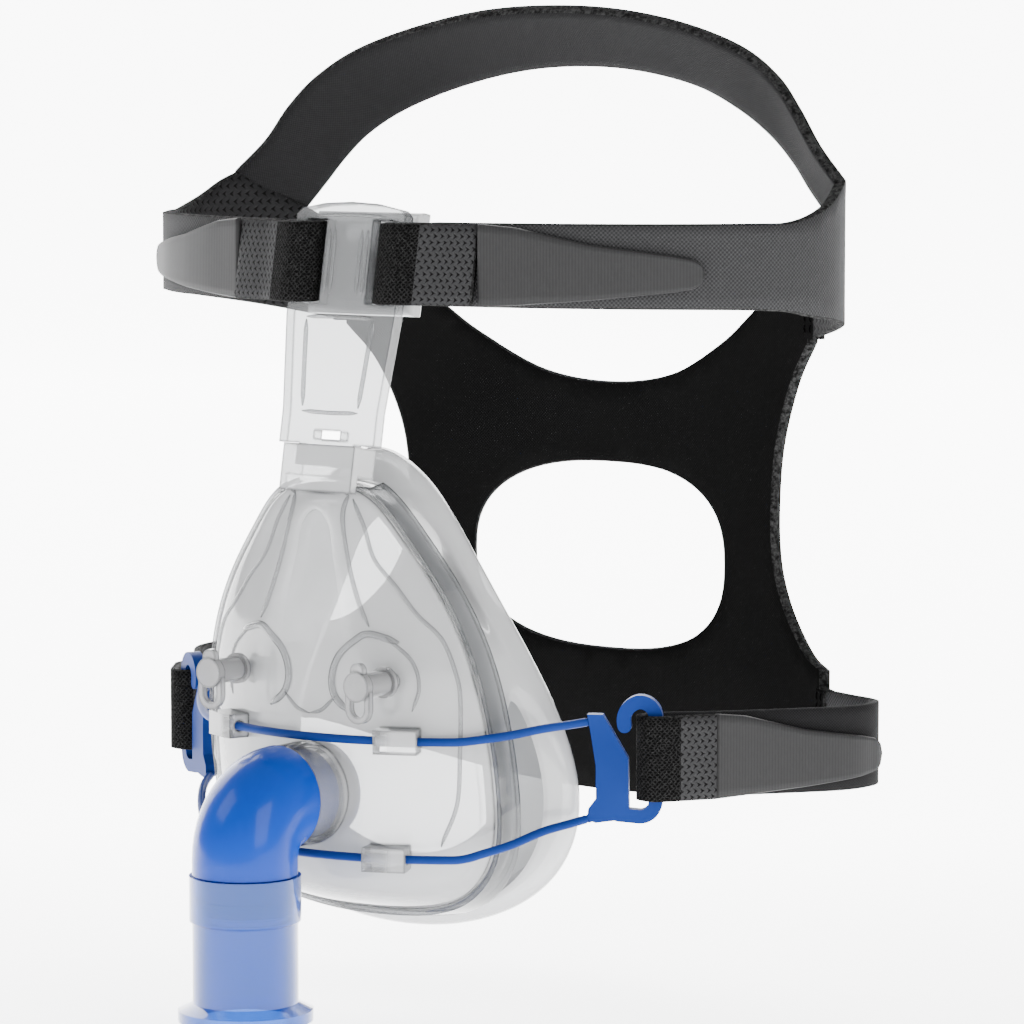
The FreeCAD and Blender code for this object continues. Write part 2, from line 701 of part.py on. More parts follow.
def make_upper_strap():
    """Side piece: loop at the support, strap along the temple, lobe up to the crown strap."""
    low = size("support_height") - size("upper_strap_half_width")
    high = size("support_height") + size("upper_strap_half_width")
    seam_x = size("upper_seam_half_width") + size("joint_gap")
    seam_y = head_point(head_angle(seam_x)).y
    lean = math.radians(size("support_lean_angle"))
    across = 2 * size("upper_strap_half_width")
    loop = band_face(upper_loop_points(), size("strap_thickness"))
    loop = loop.extrude(V(0, math.sin(lean), math.cos(lean)) * across)
    loop.translate(V(0, -math.sin(lean) * across / 2, low + (across - across * math.cos(lean)) / 2))
    start = size("slot_outer") + 9.5
    middle = size("head_centre") - 5
    front = size("head_centre") - size("head_front_depth") - 2
    lower = spline([
        V(start, front, low), V(start, middle - 18, low - 0.5), V(start, middle, low - 2.6),
        V(start, middle + 20, low - 5.5), V(start, seam_y, low - 10.0)])
    upper = spline([
        V(start, front, high), V(start, middle - 18, high), V(start, middle, high - 0.2),
        V(start, middle + 11, high + 0.8), V(start, middle + 18, high + 4), V(start, 0, 0) + lobe_tip()])
    side = prism([
        lower, upper, Part.makeLine(V(start, 0, 0) + lobe_tip(), V(start, 0, 0) + lobe_root()),
        Part.makeLine(V(start, 0, 0) + lobe_root(), V(start, seam_y, high - 7.5)),
        Part.makeLine(V(start, seam_y, high - 7.5), V(start, seam_y, low - 10.0)),
        Part.makeLine(V(start, front, low), V(start, front, high)),
    ], V(120, 0, 0))
    behind = Part.makeBox(seam_x, 60, 200, V(0, middle + 10, 0))
    return head_wall().common(side).cut(behind).fuse(loop)


def make_back_panel():
    waist = size("panel_waist")
    seam, low_seam = size("upper_seam_half_width") - 0.1, size("lower_seam_half_width")
    top, bottom = size("panel_top"), -size("panel_bottom")
    strap_low = -size("lower_strap_drop")
    strap_high = strap_low + size("lower_strap_width")
    right = spline([
        V(seam, 0, 79.6), V(waist + 7, 0, 69.5), V(waist + 1, 0, 54.0), V(waist - 0.8, 0, 38.0),
        V(waist, 0, 25.0), V(waist + 3.5, 0, 15.5), V(waist + 9, 0, 8.0), V(waist + 15, 0, strap_high + 6.6),
        V(low_seam, 0, strap_high + 4.6)])
    upper = spline([
        V(-seam, 0, 102.0), V(-50, 0, 86.0), V(-38, 0, 77.4), V(-20, 0, 68.6), V(0, 0, top),
        V(20, 0, 68.6), V(38, 0, 77.4), V(50, 0, 86.0), V(seam, 0, 102.0)])
    lower = spline([
        V(-low_seam, 0, strap_low), V(-60, 0, -29), V(-30, 0, -35.4), V(0, 0, bottom),
        V(30, 0, -35.4), V(60, 0, -29), V(low_seam, 0, strap_low)])
    left = mirrored(right)
    edges = [
        upper, lower, right, left,
        Part.makeLine(V(seam, 0, 102.0), V(seam, 0, 79.6)),
        Part.makeLine(V(-seam, 0, 102.0), V(-seam, 0, 79.6)),
        Part.makeLine(V(low_seam, 0, strap_low), V(low_seam, 0, strap_high + 4.6)),
        Part.makeLine(V(-low_seam, 0, strap_low), V(-low_seam, 0, strap_high + 4.6)),
    ]
    sheet_block = prism(edges, V(0, 120, 0))
    sheet_block.translate(V(0, size("head_centre") + 5, 0))
    hole_width, hole_height = size("panel_hole_half_width"), size("panel_hole_half_height")
    centre = V(0, 0, size("panel_hole_height"))
    hole = [
        centre + V(hole_width * math.copysign(abs(math.cos(a)) ** 0.8, math.cos(a)), 0,
                   hole_height * math.copysign(abs(math.sin(a)) ** 0.8, math.sin(a)))
        for a in (math.radians(d) for d in range(0, 360, 20))
    ]
    hole_block = Part.Face(Part.Wire(spline(hole, closed=True))).extrude(V(0, 200, 0))
    return head_wall().common(sheet_block.cut(hole_block))


def crown_edges():
    """Front and back edge points of the crown strap, from the left seam over the top."""
    top = size("crown_height")
    width = size("crown_width")
    tip, root = lobe_tip().z, lobe_root().z
    half = [
        # front edge x, y, share of the rise; back edge x, y, share of the rise
        (88.6, 59.2, -0.07, 81.6, 67.2, -0.11),
        (82.6, 56.8, 0.20, 75.0, 67.4, 0.16),
        (77.0, 56.0, 0.41, 69.4, 68.4, 0.29),
        (69.8, 57.2, 0.59, 61.8, 70.0, 0.41),
        (58.0, 59.6, 0.756, 51.0, 72.4, 0.53),
        (40.0, 61.8, 0.891, 36.0, 75.4, 0.66),
        (20.0, 62.0, 0.976, 18.0, 76.6, 0.728),
        (0.0, 62.0, 1.0, 0.0, 77.0, 0.75),
    ]
    front = [V(-x, y, tip + (top - tip) * share) for x, y, share, *_ in half]
    back = [V(-x, y, root + (top - root) * share) for *_, x, y, share in half]
    front += [V(-p.x, p.y, p.z) for p in reversed(front[:-1])]
    back += [V(-p.x, p.y, p.z) for p in reversed(back[:-1])]
    for i, (a, b) in enumerate(zip(front, back)):
        across = b - a
        reach = max(width, across.Length) if across.z < -9 and a.z < root + 18 else width
        back[i] = a + across.normalize() * reach
    return front, back


def make_crown_strap():
    front, back = crown_edges()
    sections = []
    for i, (a, b) in enumerate(zip(front, back)):
        along = front[min(i + 1, len(front) - 1)] - front[max(i - 1, 0)]
        inward = (b - a).cross(along).normalize() * -size("laminate")
        if inward.z > 0:
            inward = inward * -1
        sections.append(Part.makePolygon([a, b, b + inward, a + inward, a]))
    gap = UP * size("joint_gap") * 2
    along = (lobe_tip() - lobe_root()).normalize() * 60
    seam = [lobe_root() - along + gap, lobe_tip() + along + gap]
    below = prism(polygon([V(-150, 0, 0) + p for p in seam + [V(0, -20, 60), V(0, 60, 0)]]), V(300, 0, 0))
    return Part.makeLoft(sections, True, False).cut(below)


def lower_corner():
    """Plan place where the lower strap turns in to the back panel."""
    seam = head_point(head_angle(size("lower_seam_half_width")))
    return V(size("head_half_width") + 5.0, seam.y - 15.6, 0)


def lower_strap_direction():
    """Plan direction of the right lower strap, from the pin to its corner."""
    return (lower_corner() - V(2.4, 9, 0) - hook_pin()).normalize()


def lower_strap_points():
    """Plan points of the right lower strap: front layer, round the pin, back to the panel."""
    thickness = size("strap_thickness")
    pin = hook_pin()
    loop = size("hook_pin_thickness") / 2 + 0.8 + thickness / 2
    start = head_point(head_angle(size("lower_seam_half_width") + 1.6), thickness / 2)
    corner = lower_corner()
    along = lower_strap_direction()
    side = V(along.y, -along.x, 0)
    points = [pin + side * (loop - 0.3) + along * 20, pin + side * (loop - 0.2) + along * 13,
              pin + side * loop + along * 5]
    base = math.degrees(math.atan2(side.y, side.x))
    for step in (0, -40, -90, -140, -180):
        angle = math.radians(base + step)
        points.append(pin + V(math.cos(angle), math.sin(angle), 0) * loop)
    points.append(pin - side * (loop - 0.4) + along * 6)
    points.append(pin + along * 14 - side * 1.4)
    points.append(pin + along * 30 - side * 0.3)
    points.append(corner - V(2.4, 9, 0))
    points.append(corner)
    points.append(corner + V(-2.8, 6.6, 0))
    points.append(start + V(9.4, -4.0, 0))
    points.append(start)
    return points


def make_lower_strap():
    face = band_face(lower_strap_points(), size("strap_thickness"))
    strap = face.extrude(UP * size("lower_strap_width"))
    strap.translate(V(0, 0, -size("lower_strap_drop")))
    return strap


def make_upper_tab():
    """Grip tab: full width at the strap's end, tapering to a rounded tip."""
    start = size("strap_layer_end") + 0.8
    outside = size("tab_thickness") / 2 + 0.3
    tip = start + 46
    count = 8
    points = [
        head_point(-head_angle(start + (tip - start) * i / count), -outside - 0.5 * (i == 0)) for i in range(count + 1)
    ]
    low = size("support_height") - size("upper_strap_half_width")
    high = size("support_height") + size("upper_strap_half_width")
    band = band_face(points, size("tab_thickness")).extrude(UP * (high - low + 4))
    band.translate(V(0, 0, low - 2))
    end = start + 46
    face = prism([
        spline([V(start, 0, high), V(start + 8, 0, high - 0.8), V(start + 25, 0, high - 5.2),
                V(end - 4, 0, high - 7.8), V(end - 0.6, 0, high - 10.2), V(end - 0.2, 0, high - 12.0),
                V(end - 3.4, 0, low + 4.6), V(start + 20, 0, low + 2.2), V(start, 0, low)]),
        Part.makeLine(V(start, 0, low), V(start, 0, high)),
    ], V(0, 120, 0))
    face.translate(V(0, -60, 0))
    return band.common(face)


def make_lower_tab():
    points = lower_strap_points()
    pin = hook_pin()
    along = lower_strap_direction()
    side = V(along.y, -along.x, 0)
    start = pin + along * 20.2 + side * 3.1
    corner = lower_corner()
    path = [start, start + along * 8 - side * 0.4, corner - V(2.4, 9, 0) + side * 2.5,
            corner + V(2.4, -2.0, 0), corner + V(2.6, 1.0, 0)]
    low = -size("lower_strap_drop")
    high = low + size("lower_strap_width")
    band = band_face(path, size("tab_thickness")).extrude(UP * (high - low + 4))
    band.translate(V(0, 0, low - 2))
    first = points[0].y
    face = prism([
        spline([V(0, first, high), V(0, first + 8, high - 0.8), V(0, first + 20, high - 5.6),
                V(0, first + 28, high - 7.8), V(0, first + 30.6, high - 10.4), V(0, first + 29, high - 14.0),
                V(0, first + 16, low + 3.4), V(0, first, low)]),
        Part.makeLine(V(0, first, low), V(0, first, high)),
    ], V(140, 0, 0))
    return band.common(face)


make_swivel_tube()
make_forehead_support()
add_piece("mask_shell", make_mask_shell())
add_piece("seal_frame", make_seal_frame())
add_piece("cushion", make_cushion())
add_piece("forehead_pad", make_forehead_pad())
add_piece("glider", make_glider())
add_piece("elbow", make_elbow())
make_port_cap("port_cap_left", 1)
make_port_cap("port_cap_right", -1)
add_piece("back_panel", make_back_panel())
add_piece("crown_strap", make_crown_strap())
for name, maker in (
    ("upper_strap", make_upper_strap),
    ("lower_strap", make_lower_strap),
    ("upper_tab", make_upper_tab),
    ("lower_tab", make_lower_tab),
):
    left_piece = maker()
    add_piece(name + "_left", left_piece)
    add_piece(name + "_right", mirrored(left_piece))

doc.recompute()

NODES = [o for o in doc.Objects if o.TypeId in ("PartDesign::Body", "Part::Feature")]
for item in doc.Objects:
    if "Invalid" in item.State or "Error" in item.State:
        raise RuntimeError(f"{item.Label} failed: {item.State}")
for node in NODES:
    if node.Shape.isNull() or not node.Shape.isValid():
        raise RuntimeError(f"{node.Label} has no valid shape")

os.makedirs("parts", exist_ok=True)
for node in NODES:
    node.Shape.exportStep(f"parts/{node.Label}.step")
    box = node.Shape.BoundBox
    print(node.Label, len(node.Shape.Solids), "solids", round(node.Shape.Volume), "mm3",
          [round(v, 1) for v in (box.XMin, box.XMax, box.YMin, box.YMax, box.ZMin, box.ZMax)])
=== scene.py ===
import math

import bpy
import numpy as np
import bmesh
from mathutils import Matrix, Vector, geometry
from mathutils.bvhtree import BVHTree


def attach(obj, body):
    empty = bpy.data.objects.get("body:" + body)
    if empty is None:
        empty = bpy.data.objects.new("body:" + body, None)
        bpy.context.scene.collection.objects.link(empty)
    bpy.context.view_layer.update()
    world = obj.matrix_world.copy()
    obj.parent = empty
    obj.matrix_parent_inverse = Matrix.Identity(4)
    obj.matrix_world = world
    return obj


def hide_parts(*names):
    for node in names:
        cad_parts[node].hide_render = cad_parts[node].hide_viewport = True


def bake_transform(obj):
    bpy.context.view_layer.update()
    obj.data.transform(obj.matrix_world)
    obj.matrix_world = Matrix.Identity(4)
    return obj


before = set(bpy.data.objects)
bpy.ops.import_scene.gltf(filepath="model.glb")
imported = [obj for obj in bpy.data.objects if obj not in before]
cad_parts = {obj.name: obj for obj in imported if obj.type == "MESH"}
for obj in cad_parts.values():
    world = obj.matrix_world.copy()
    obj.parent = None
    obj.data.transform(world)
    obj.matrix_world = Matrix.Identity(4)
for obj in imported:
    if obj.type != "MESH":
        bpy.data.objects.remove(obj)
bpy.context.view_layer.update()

MM = 0.001
HEAD_WIDTH, HEAD_FRONT, HEAD_BACK, HEAD_CENTRE = 94.5, 58.9, 49.0, 40.0
LAMINATE = 2.6
STRAP = 2.2
SUPPORT_HEIGHT = 100.0
UPPER_HALF = 9.3
UPPER_LOW, UPPER_HIGH = SUPPORT_HEIGHT - UPPER_HALF, SUPPORT_HEIGHT + UPPER_HALF
LOWER_LOW, LOWER_HIGH = -23.1, -3.7
SEAM_X = 72.0
LOWER_SEAM = 79.0
LOBE_TIP_HEIGHT = UPPER_HIGH + 9
LOBE_ROOT = (HEAD_CENTRE + 26.5, UPPER_HIGH - 1)
CROWN_FOOT = (51.0, 118.3)
CROWN_WIDTH = 20.0
BAR_RADIUS, BAR_CENTRE, BAR_END = 62.5, 23.6, 57.0
HOOK_TOE, HOOK_REACH = 30, 15.2
LOWER_TAB_START = 13.6
LOWER_BLEND = ((0.0985, 0.045, -0.0134), (0.080, 0.015, -0.0134))
VIEW_ACROSS, VIEW_BACK = 0.588, 0.809


# Camera and studio
def make_camera():
    eye = Vector((0.66445, -0.86893, 0.14525))
    target = Vector((0.02086, 0.0169, 0.03982))
    data = bpy.data.cameras.new("photo_camera")
    data.lens = 162.4
    data.sensor_width = 36.0
    data.clip_start, data.clip_end = 0.05, 20
    camera = bpy.data.objects.new("photo_camera", data)
    camera.location = eye
    camera.rotation_euler = (target - eye).to_track_quat("-Z", "Y").to_euler()
    bpy.context.scene.collection.objects.link(camera)
    bpy.context.scene.camera = camera


def area_light(name, spot, target, size, power):
    data = bpy.data.lights.new(name, "AREA")
    data.shape = "RECTANGLE"
    data.size, data.size_y = size
    data.energy = power
    lamp = bpy.data.objects.new(name, data)
    lamp.location = spot
    lamp.rotation_euler = (Vector(target) - Vector(spot)).to_track_quat("-Z", "Y").to_euler()
    bpy.context.scene.collection.objects.link(lamp)


# Materials
class Shader:
    """A node material: make() adds a node, calc() adds a sum, and both return a socket or node."""

    def __init__(self, name):
        self.material = bpy.data.materials.new(name)
        self.material.use_nodes = True
        self.tree = self.material.node_tree
        self.tree.nodes.clear()
        self.output = self.tree.nodes.new("ShaderNodeOutputMaterial")

    def make(self, kind, inputs=None, **settings):
        node = self.tree.nodes.new("ShaderNode" + kind)
        for key, value in settings.items():
            setattr(node, key, value)
        for key, value in (inputs or {}).items():
            self.feed(node.inputs[key], value)
        return node

    def feed(self, socket, value):
        if isinstance(value, bpy.types.NodeSocket):
            self.tree.links.new(value, socket)
        else:
            socket.default_value = value

    def calc(self, operation, *values):
        node = self.make("Math", operation=operation)
        for socket, value in zip(node.inputs, values):
            self.feed(socket, value)
        return node.outputs[0]

    def ramp(self, value, stops):
        node = self.make("ValToRGB", {"Fac": value})
        elements = node.color_ramp.elements
        while len(elements) < len(stops):
            elements.new(0.5)
        for element, (position, colour) in zip(elements, stops):
            element.position = position
            element.color = (*colour, 1)
        return node.outputs["Color"]

    def noise(self, vector, scale, detail=3.0, roughness=0.5):
        inputs = {"Vector": vector, "Scale": scale, "Detail": detail, "Roughness": roughness}
        return self.make("TexNoise", inputs).outputs["Fac"]

    def bump(self, height, strength, distance):
        inputs = {"Height": height, "Strength": strength, "Distance": distance}
        return self.make("Bump", inputs).outputs["Normal"]

    def spread(self, value, before, after):
        """Map a value from one range to another, held at both ends."""
        return self.make("MapRange", {
            "Value": value, "From Min": before[0], "From Max": before[1],
            "To Min": after[0], "To Max": after[1]}).outputs["Result"]

    def finish(self, shader):
        self.tree.links.new(shader, self.output.inputs["Surface"])
        return self.material


def place(shader):
    return shader.make("TexCoord").outputs["Object"]


def cloth_place(shader):
    """Fabric coordinates in millimetres: along and across the piece."""
    split = shader.make("SeparateXYZ", {"Vector": shader.make("TexCoord").outputs["UV"]})
    return split.outputs["X"], split.outputs["Y"]


def woven(name, dark, light, pitch, strength=0.6, shine=0.1):
    """Plain weave with slightly uneven threads, with painted shade in the thread valleys and painted highlight on
    the thread tops.
    """
    s = Shader(name)
    u, v = cloth_place(s)
    where = place(s)
    wobble = s.calc("MULTIPLY", s.noise(where, 300), 0.5)
    along = s.calc("SINE", s.calc("ADD", s.calc("MULTIPLY", u, 2 * math.pi / pitch), wobble))
    across = s.calc("SINE", s.calc("ADD", s.calc("MULTIPLY", v, 2 * math.pi / pitch), wobble))
    threads = s.calc("MULTIPLY", along, across)
    height = s.calc("ADD", s.calc("MULTIPLY", threads, 0.5), 0.5)
    fuzz = s.noise(where, 2500, 2)
    mixed = s.calc("ADD", s.calc("MULTIPLY", height, 0.7), s.calc("MULTIPLY", fuzz, 0.3))
    patch = s.noise(where, 25, 2)
    colour = s.make("Mix", {"Factor": patch, "A": (*dark, 1), "B": (*light, 1)}, data_type="RGBA")
    # painted shade and highlight: colour darkened in the thread valleys and lightened on the thread tops
    painted_thread_shade = s.ramp(mixed, [(0.15, (0.45, 0.45, 0.45)), (0.85, (1.35, 1.35, 1.35))])
    final = s.make("Mix", {"Factor": 1.0, "A": colour.outputs["Result"], "B": painted_thread_shade},
                   data_type="RGBA", blend_type="MULTIPLY")
    bsdf = s.make("BsdfPrincipled", {
        "Base Color": final.outputs["Result"], "Roughness": 0.85, "Specular IOR Level": shine,
        "Normal": s.bump(mixed, strength, 0.0003)})
    return s.finish(bsdf.outputs["BSDF"])


def pile(name, dark, light, size, strength=0.8):
    """Short looped pile: dark crossing loops with pale flecks."""
    s = Shader(name)
    u, v = cloth_place(s)
    where = place(s)
    drift = s.calc("MULTIPLY", s.noise(where, 1000, 2), 9.0)
    first = s.calc("SINE", s.calc("ADD", s.calc("MULTIPLY", s.calc("ADD", u, v), 5.6 / size), drift))
    second = s.calc("SINE", s.calc("ADD", s.calc("MULTIPLY", s.calc("SUBTRACT", u, v), 5.6 / size), drift))
    grain = s.noise(where, 1500, 4, 0.75)
    height = s.calc("ADD", s.calc("MULTIPLY", s.calc("MAXIMUM", first, second), 0.3), grain)
    colour = s.ramp(height, [(0.55, dark), (0.95, light)])
    bsdf = s.make("BsdfPrincipled", {
        "Base Color": colour, "Roughness": 0.9, "Specular IOR Level": 0.04,
        "Normal": s.bump(height, strength, 0.0006)})
    return s.finish(bsdf.outputs["BSDF"])


def cut_edge(name):
    """Cut edge of the laminate: dark foam flecked with pale fibres."""
    s = Shader(name)
    where = place(s)
    flecks = s.noise(where, 900, 5, 0.75)
    colour = s.ramp(flecks, [(0.42, (0.004, 0.004, 0.004)), (0.62, (0.035, 0.035, 0.035))])
    bsdf = s.make("BsdfPrincipled", {
        "Base Color": colour, "Roughness": 0.95, "Specular IOR Level": 0.03,
        "Normal": s.bump(flecks, 0.9, 0.0006)})
    return s.finish(bsdf.outputs["BSDF"])


def weld(name, base, dimple_shade, pitch_u=1.7, pitch_v=1.45, strength=0.9):
    """Welded area: staggered rows of small arrow-shaped dimples pressed into the fabric, with painted shade
    darkening each dimple.
    """
    s = Shader(name)
    u, v = cloth_place(s)
    row = s.calc("DIVIDE", v, pitch_v)
    stagger = s.calc("MULTIPLY", s.calc("MODULO", s.calc("ABSOLUTE", s.calc("FLOOR", row)), 2.0), 0.5)
    column = s.calc("ADD", s.calc("DIVIDE", u, pitch_u), stagger)
    y = s.calc("ABSOLUTE", s.calc("SUBTRACT", s.calc("FRACT", row), 0.5))
    x = s.calc("SUBTRACT", s.calc("SUBTRACT", s.calc("FRACT", column), 0.5), s.calc("MULTIPLY", y, 0.9))
    radius = s.calc("ADD", s.calc("ABSOLUTE", x), s.calc("MULTIPLY", y, 0.5))
    grain = s.calc("MULTIPLY", s.noise(place(s), 2200, 3), 0.1)
    height = s.calc("ADD", s.calc("SMOOTH_MIN", radius, 0.36, 0.1), grain)
    # painted shade: the colour is darkest at the bottom of each dimple
    colour = s.ramp(height, [(0.19, dimple_shade), (0.31, base), (0.47, base)])
    bsdf = s.make("BsdfPrincipled", {
        "Base Color": colour, "Roughness": 0.75, "Specular IOR Level": 0.08,
        "Normal": s.bump(height, strength, 0.001)})
    return s.finish(bsdf.outputs["BSDF"])


def ribbed(name, dark, light, pitch):
    """Tab skin with fine ribs across its length; its colour is painted darker in the rib troughs and lighter on
    the rib tops (painted shade and highlight), with some random tone.
    """
    s = Shader(name)
    u, _ = cloth_place(s)
    where = place(s)
    wave = s.calc("SINE", s.calc("MULTIPLY", u, 2 * math.pi / pitch))
    rib = s.calc("ADD", s.calc("MULTIPLY", wave, 0.5), 0.5)
    mixed = s.calc("ADD", s.calc("MULTIPLY", rib, 0.6), s.calc("MULTIPLY", s.noise(where, 900, 4), 0.4))
    # painted shade and highlight from the rib wave, mixed with random noise tone
    colour = s.ramp(mixed, [(0.2, dark), (0.8, light)])
    bsdf = s.make("BsdfPrincipled", {
        "Base Color": colour, "Roughness": 0.6, "Specular IOR Level": 0.15,
        "Normal": s.bump(mixed, 0.12, 0.0002)})
    return s.finish(bsdf.outputs["BSDF"])


def soft_plastic(name, colour, roughness, grain_scale, grain, coat, shine):
    """Moulded plastic with a faint grain and slight colour drift."""
    s = Shader(name)
    where = place(s)
    drift = s.noise(where, 30, 2)
    light = tuple(min(1.0, c * 1.12 + 0.004) for c in colour)
    deep = tuple(c * 0.9 for c in colour)
    tint = s.ramp(drift, [(0.35, deep), (0.65, light)])
    grit = s.noise(where, grain_scale, 3)
    bsdf = s.make("BsdfPrincipled", {
        "Base Color": tint, "Roughness": roughness, "Specular IOR Level": shine,
        "Coat Weight": coat, "Coat Roughness": 0.05, "Normal": s.bump(grit, grain, 0.0001)})
    return s.finish(bsdf.outputs["BSDF"])


def edge_lines(s, radius):
    """How sharply the surface turns: nothing on flats, one along edges and creases."""
    rounded = s.make("Bevel", {"Radius": radius}, samples=4).outputs["Normal"]
    straight = s.make("NewGeometry").outputs["Normal"]
    turn = s.make("VectorMath", operation="DOT_PRODUCT")
    s.feed(turn.inputs[0], rounded)
    s.feed(turn.inputs[1], straight)
    bend = s.calc("SUBTRACT", 1.0, s.calc("ABSOLUTE", turn.outputs["Value"]))
    return s.calc("MINIMUM", s.calc("MULTIPLY", bend, 9.0), 1.0)


def grey(level):
    """Neutral clear tint, a touch cooler than plain grey."""
    return (level, level * 1.008, level * 1.015)


def clear(name, body, edge, covers, passes, roughness=0.08, ripple=0.08, line_shade=0.6, clearer_before=None):
    """Clear moulding: see-through face on, with painted shade that makes it greyer where it is seen edge on and
    along its edges and creases.
    """
    s = Shader(name)
    where = place(s)
    waves = s.noise(where, 55, 2)
    surface = s.bump(waves, ripple, 0.003)
    facing = s.make("LayerWeight", {"Blend": 0.5, "Normal": surface}).outputs["Facing"]
    cover = s.spread(facing, (0.3, 0.95), covers)
    if clearer_before is not None:
        depth = s.make("SeparateXYZ", {"Vector": where}).outputs["Y"]
        thin = s.spread(depth, (clearer_before, clearer_before + 0.001), (0.35, 1.0))
        cover = s.calc("MULTIPLY", cover, thin)
    # painted shade: dark lines along the moulding's edges and creases
    lines = s.calc("MULTIPLY", edge_lines(s, 0.001), line_shade)
    # painted shade: greyer colour and darker see-through tint where the surface is edge on or on a line
    painted_edge_shade = s.calc("MAXIMUM", facing, lines)
    milk = s.make("BsdfPrincipled", {
        "Base Color": s.ramp(painted_edge_shade, [(0.3, body), (0.9, edge)]), "Roughness": roughness, "Specular IOR Level": 0.5,
        "Coat Weight": 0.6, "Coat Roughness": 0.03, "Normal": surface})
    through = s.make("BsdfTransparent", {"Color": s.ramp(painted_edge_shade, [(0.3, passes[0]), (0.95, passes[1])])})
    mix = s.make("MixShader", {"Fac": s.calc("MAXIMUM", cover, lines)})
    s.tree.links.new(through.outputs[0], mix.inputs[1])
    s.tree.links.new(milk.outputs[0], mix.inputs[2])
    return s.finish(mix.outputs[0])


def floor_material():
    """Pale sweep that glows by its own emission, more strongly behind the object: painted light that also lights
    the object.
    """
    s = Shader("studio_floor")
    where = place(s)
    grain = s.noise(where, 12, 2)
    tone = s.ramp(grain, [(0.3, (0.93, 0.93, 0.93)), (0.7, (0.96, 0.96, 0.96))])
    split = s.make("SeparateXYZ", {"Vector": where})
    back = s.calc("MULTIPLY", split.outputs["Y"], VIEW_BACK)
    across = s.calc("MULTIPLY", split.outputs["X"], VIEW_ACROSS)
    # painted light: the floor's emission strength rises behind the object
    glow = s.spread(s.calc("SUBTRACT", back, across), (-0.12, 0.25), (3.0, 6.5))
    bsdf = s.make("BsdfPrincipled", {
        "Base Color": tone, "Roughness": 0.9, "Specular IOR Level": 0.1,
        "Emission Color": (1, 1, 1, 1), "Emission Strength": glow})
    return s.finish(bsdf.outputs["BSDF"])


GREY_WEAVE = woven("grey_weave", (0.026, 0.026, 0.027), (0.034, 0.034, 0.035), 1.0, 0.7, 0.08)
DARK_LINING = woven("dark_lining", (0.01, 0.01, 0.0105), (0.014, 0.014, 0.0145), 0.7, 0.4, 0.05)
BLACK_KNIT = woven("black_knit", (0.004, 0.004, 0.004), (0.007, 0.007, 0.007), 0.8, 0.4, 0.0)
MESH_LINING = weld("mesh_lining", (0.012, 0.012, 0.0125), (0.001, 0.001, 0.001), 2.4, 2.0, 0.6)
PILE = pile("loop_pile", (0.001, 0.001, 0.001), (0.022, 0.022, 0.022), 1.0)
EDGE = cut_edge("laminate_edge")
WELD = weld("welded_area", (0.026, 0.026, 0.027), (0.001, 0.001, 0.001))
TAB = ribbed("tab_skin", (0.0165, 0.0165, 0.017), (0.0215, 0.0215, 0.022), 0.75)
DARK_THREAD = woven("dark_thread", (0.001, 0.001, 0.001), (0.002, 0.002, 0.002), 0.3, 0.6, 0.0)
# In each clear material the second colour and the second pass tint are painted shade for edges, creases and
# edge-on faces
CLEAR_SHELL = clear(
    "clear_shell", (0.5, 0.505, 0.51), (0.03, 0.032, 0.034), (0.58, 0.92), (grey(0.92), grey(0.3)),
    line_shade=0.9, clearer_before=-0.0375)
# Darker than the shell: painted shade along the creases and recess edges that the beads follow
CLEAR_RIDGE_SHADE = clear(
    "clear_ridge_shade", (0.3, 0.305, 0.31), (0.02, 0.021, 0.022), (0.3, 0.95), (grey(0.8), grey(0.25)))
CLEAR_RING = clear(
    "clear_ring", (0.2, 0.205, 0.21), (0.04, 0.042, 0.044), (0.2, 0.85), (grey(0.8), grey(0.3)), line_shade=0.9)
CLEAR_SUPPORT = clear(
    "clear_support", (0.33, 0.335, 0.34), (0.04, 0.042, 0.044), (0.3, 0.85), (grey(0.72), grey(0.25)),
    line_shade=0.9)
SILICONE = clear(
    "clear_silicone", (0.52, 0.525, 0.53), (0.05, 0.052, 0.054), (0.78, 0.97), (grey(0.9), grey(0.4)),
    0.18, 0.15, 0.4)
CAP_SILICONE = clear(
    "cap_silicone", (0.4, 0.4, 0.405), (0.02, 0.02, 0.022), (0.45, 0.95), (grey(0.8), grey(0.25)),
    0.2, line_shade=0.85)
ELBOW_BLUE = soft_plastic("elbow_blue", (0.0, 0.035, 0.3), 0.22, 1200, 0.05, 0.1, 0.12)
GLIDER_BLUE = soft_plastic("glider_blue", (0.003, 0.022, 0.14), 0.45, 1500, 0.1, 0.0, 0.06)
TUBE_BLUE = clear("tube_blue", (0.015, 0.08, 0.33), (0.003, 0.03, 0.2), (0.55, 0.95),
                  ((0.2, 0.45, 0.93), (0.04, 0.15, 0.6)), 0.15, 0.04, 0.5)

for node, material in (
    ("mask_shell", CLEAR_SHELL), ("seal_frame", CLEAR_RING), ("cushion", SILICONE),
    ("forehead_support", CLEAR_SUPPORT), ("forehead_pad", SILICONE), ("glider", GLIDER_BLUE),
    ("elbow", ELBOW_BLUE), ("swivel_tube", TUBE_BLUE),
    ("port_cap_left", CAP_SILICONE), ("port_cap_right", CAP_SILICONE),
):
    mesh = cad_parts[node].data
    mesh.materials.clear()
    mesh.materials.append(material)


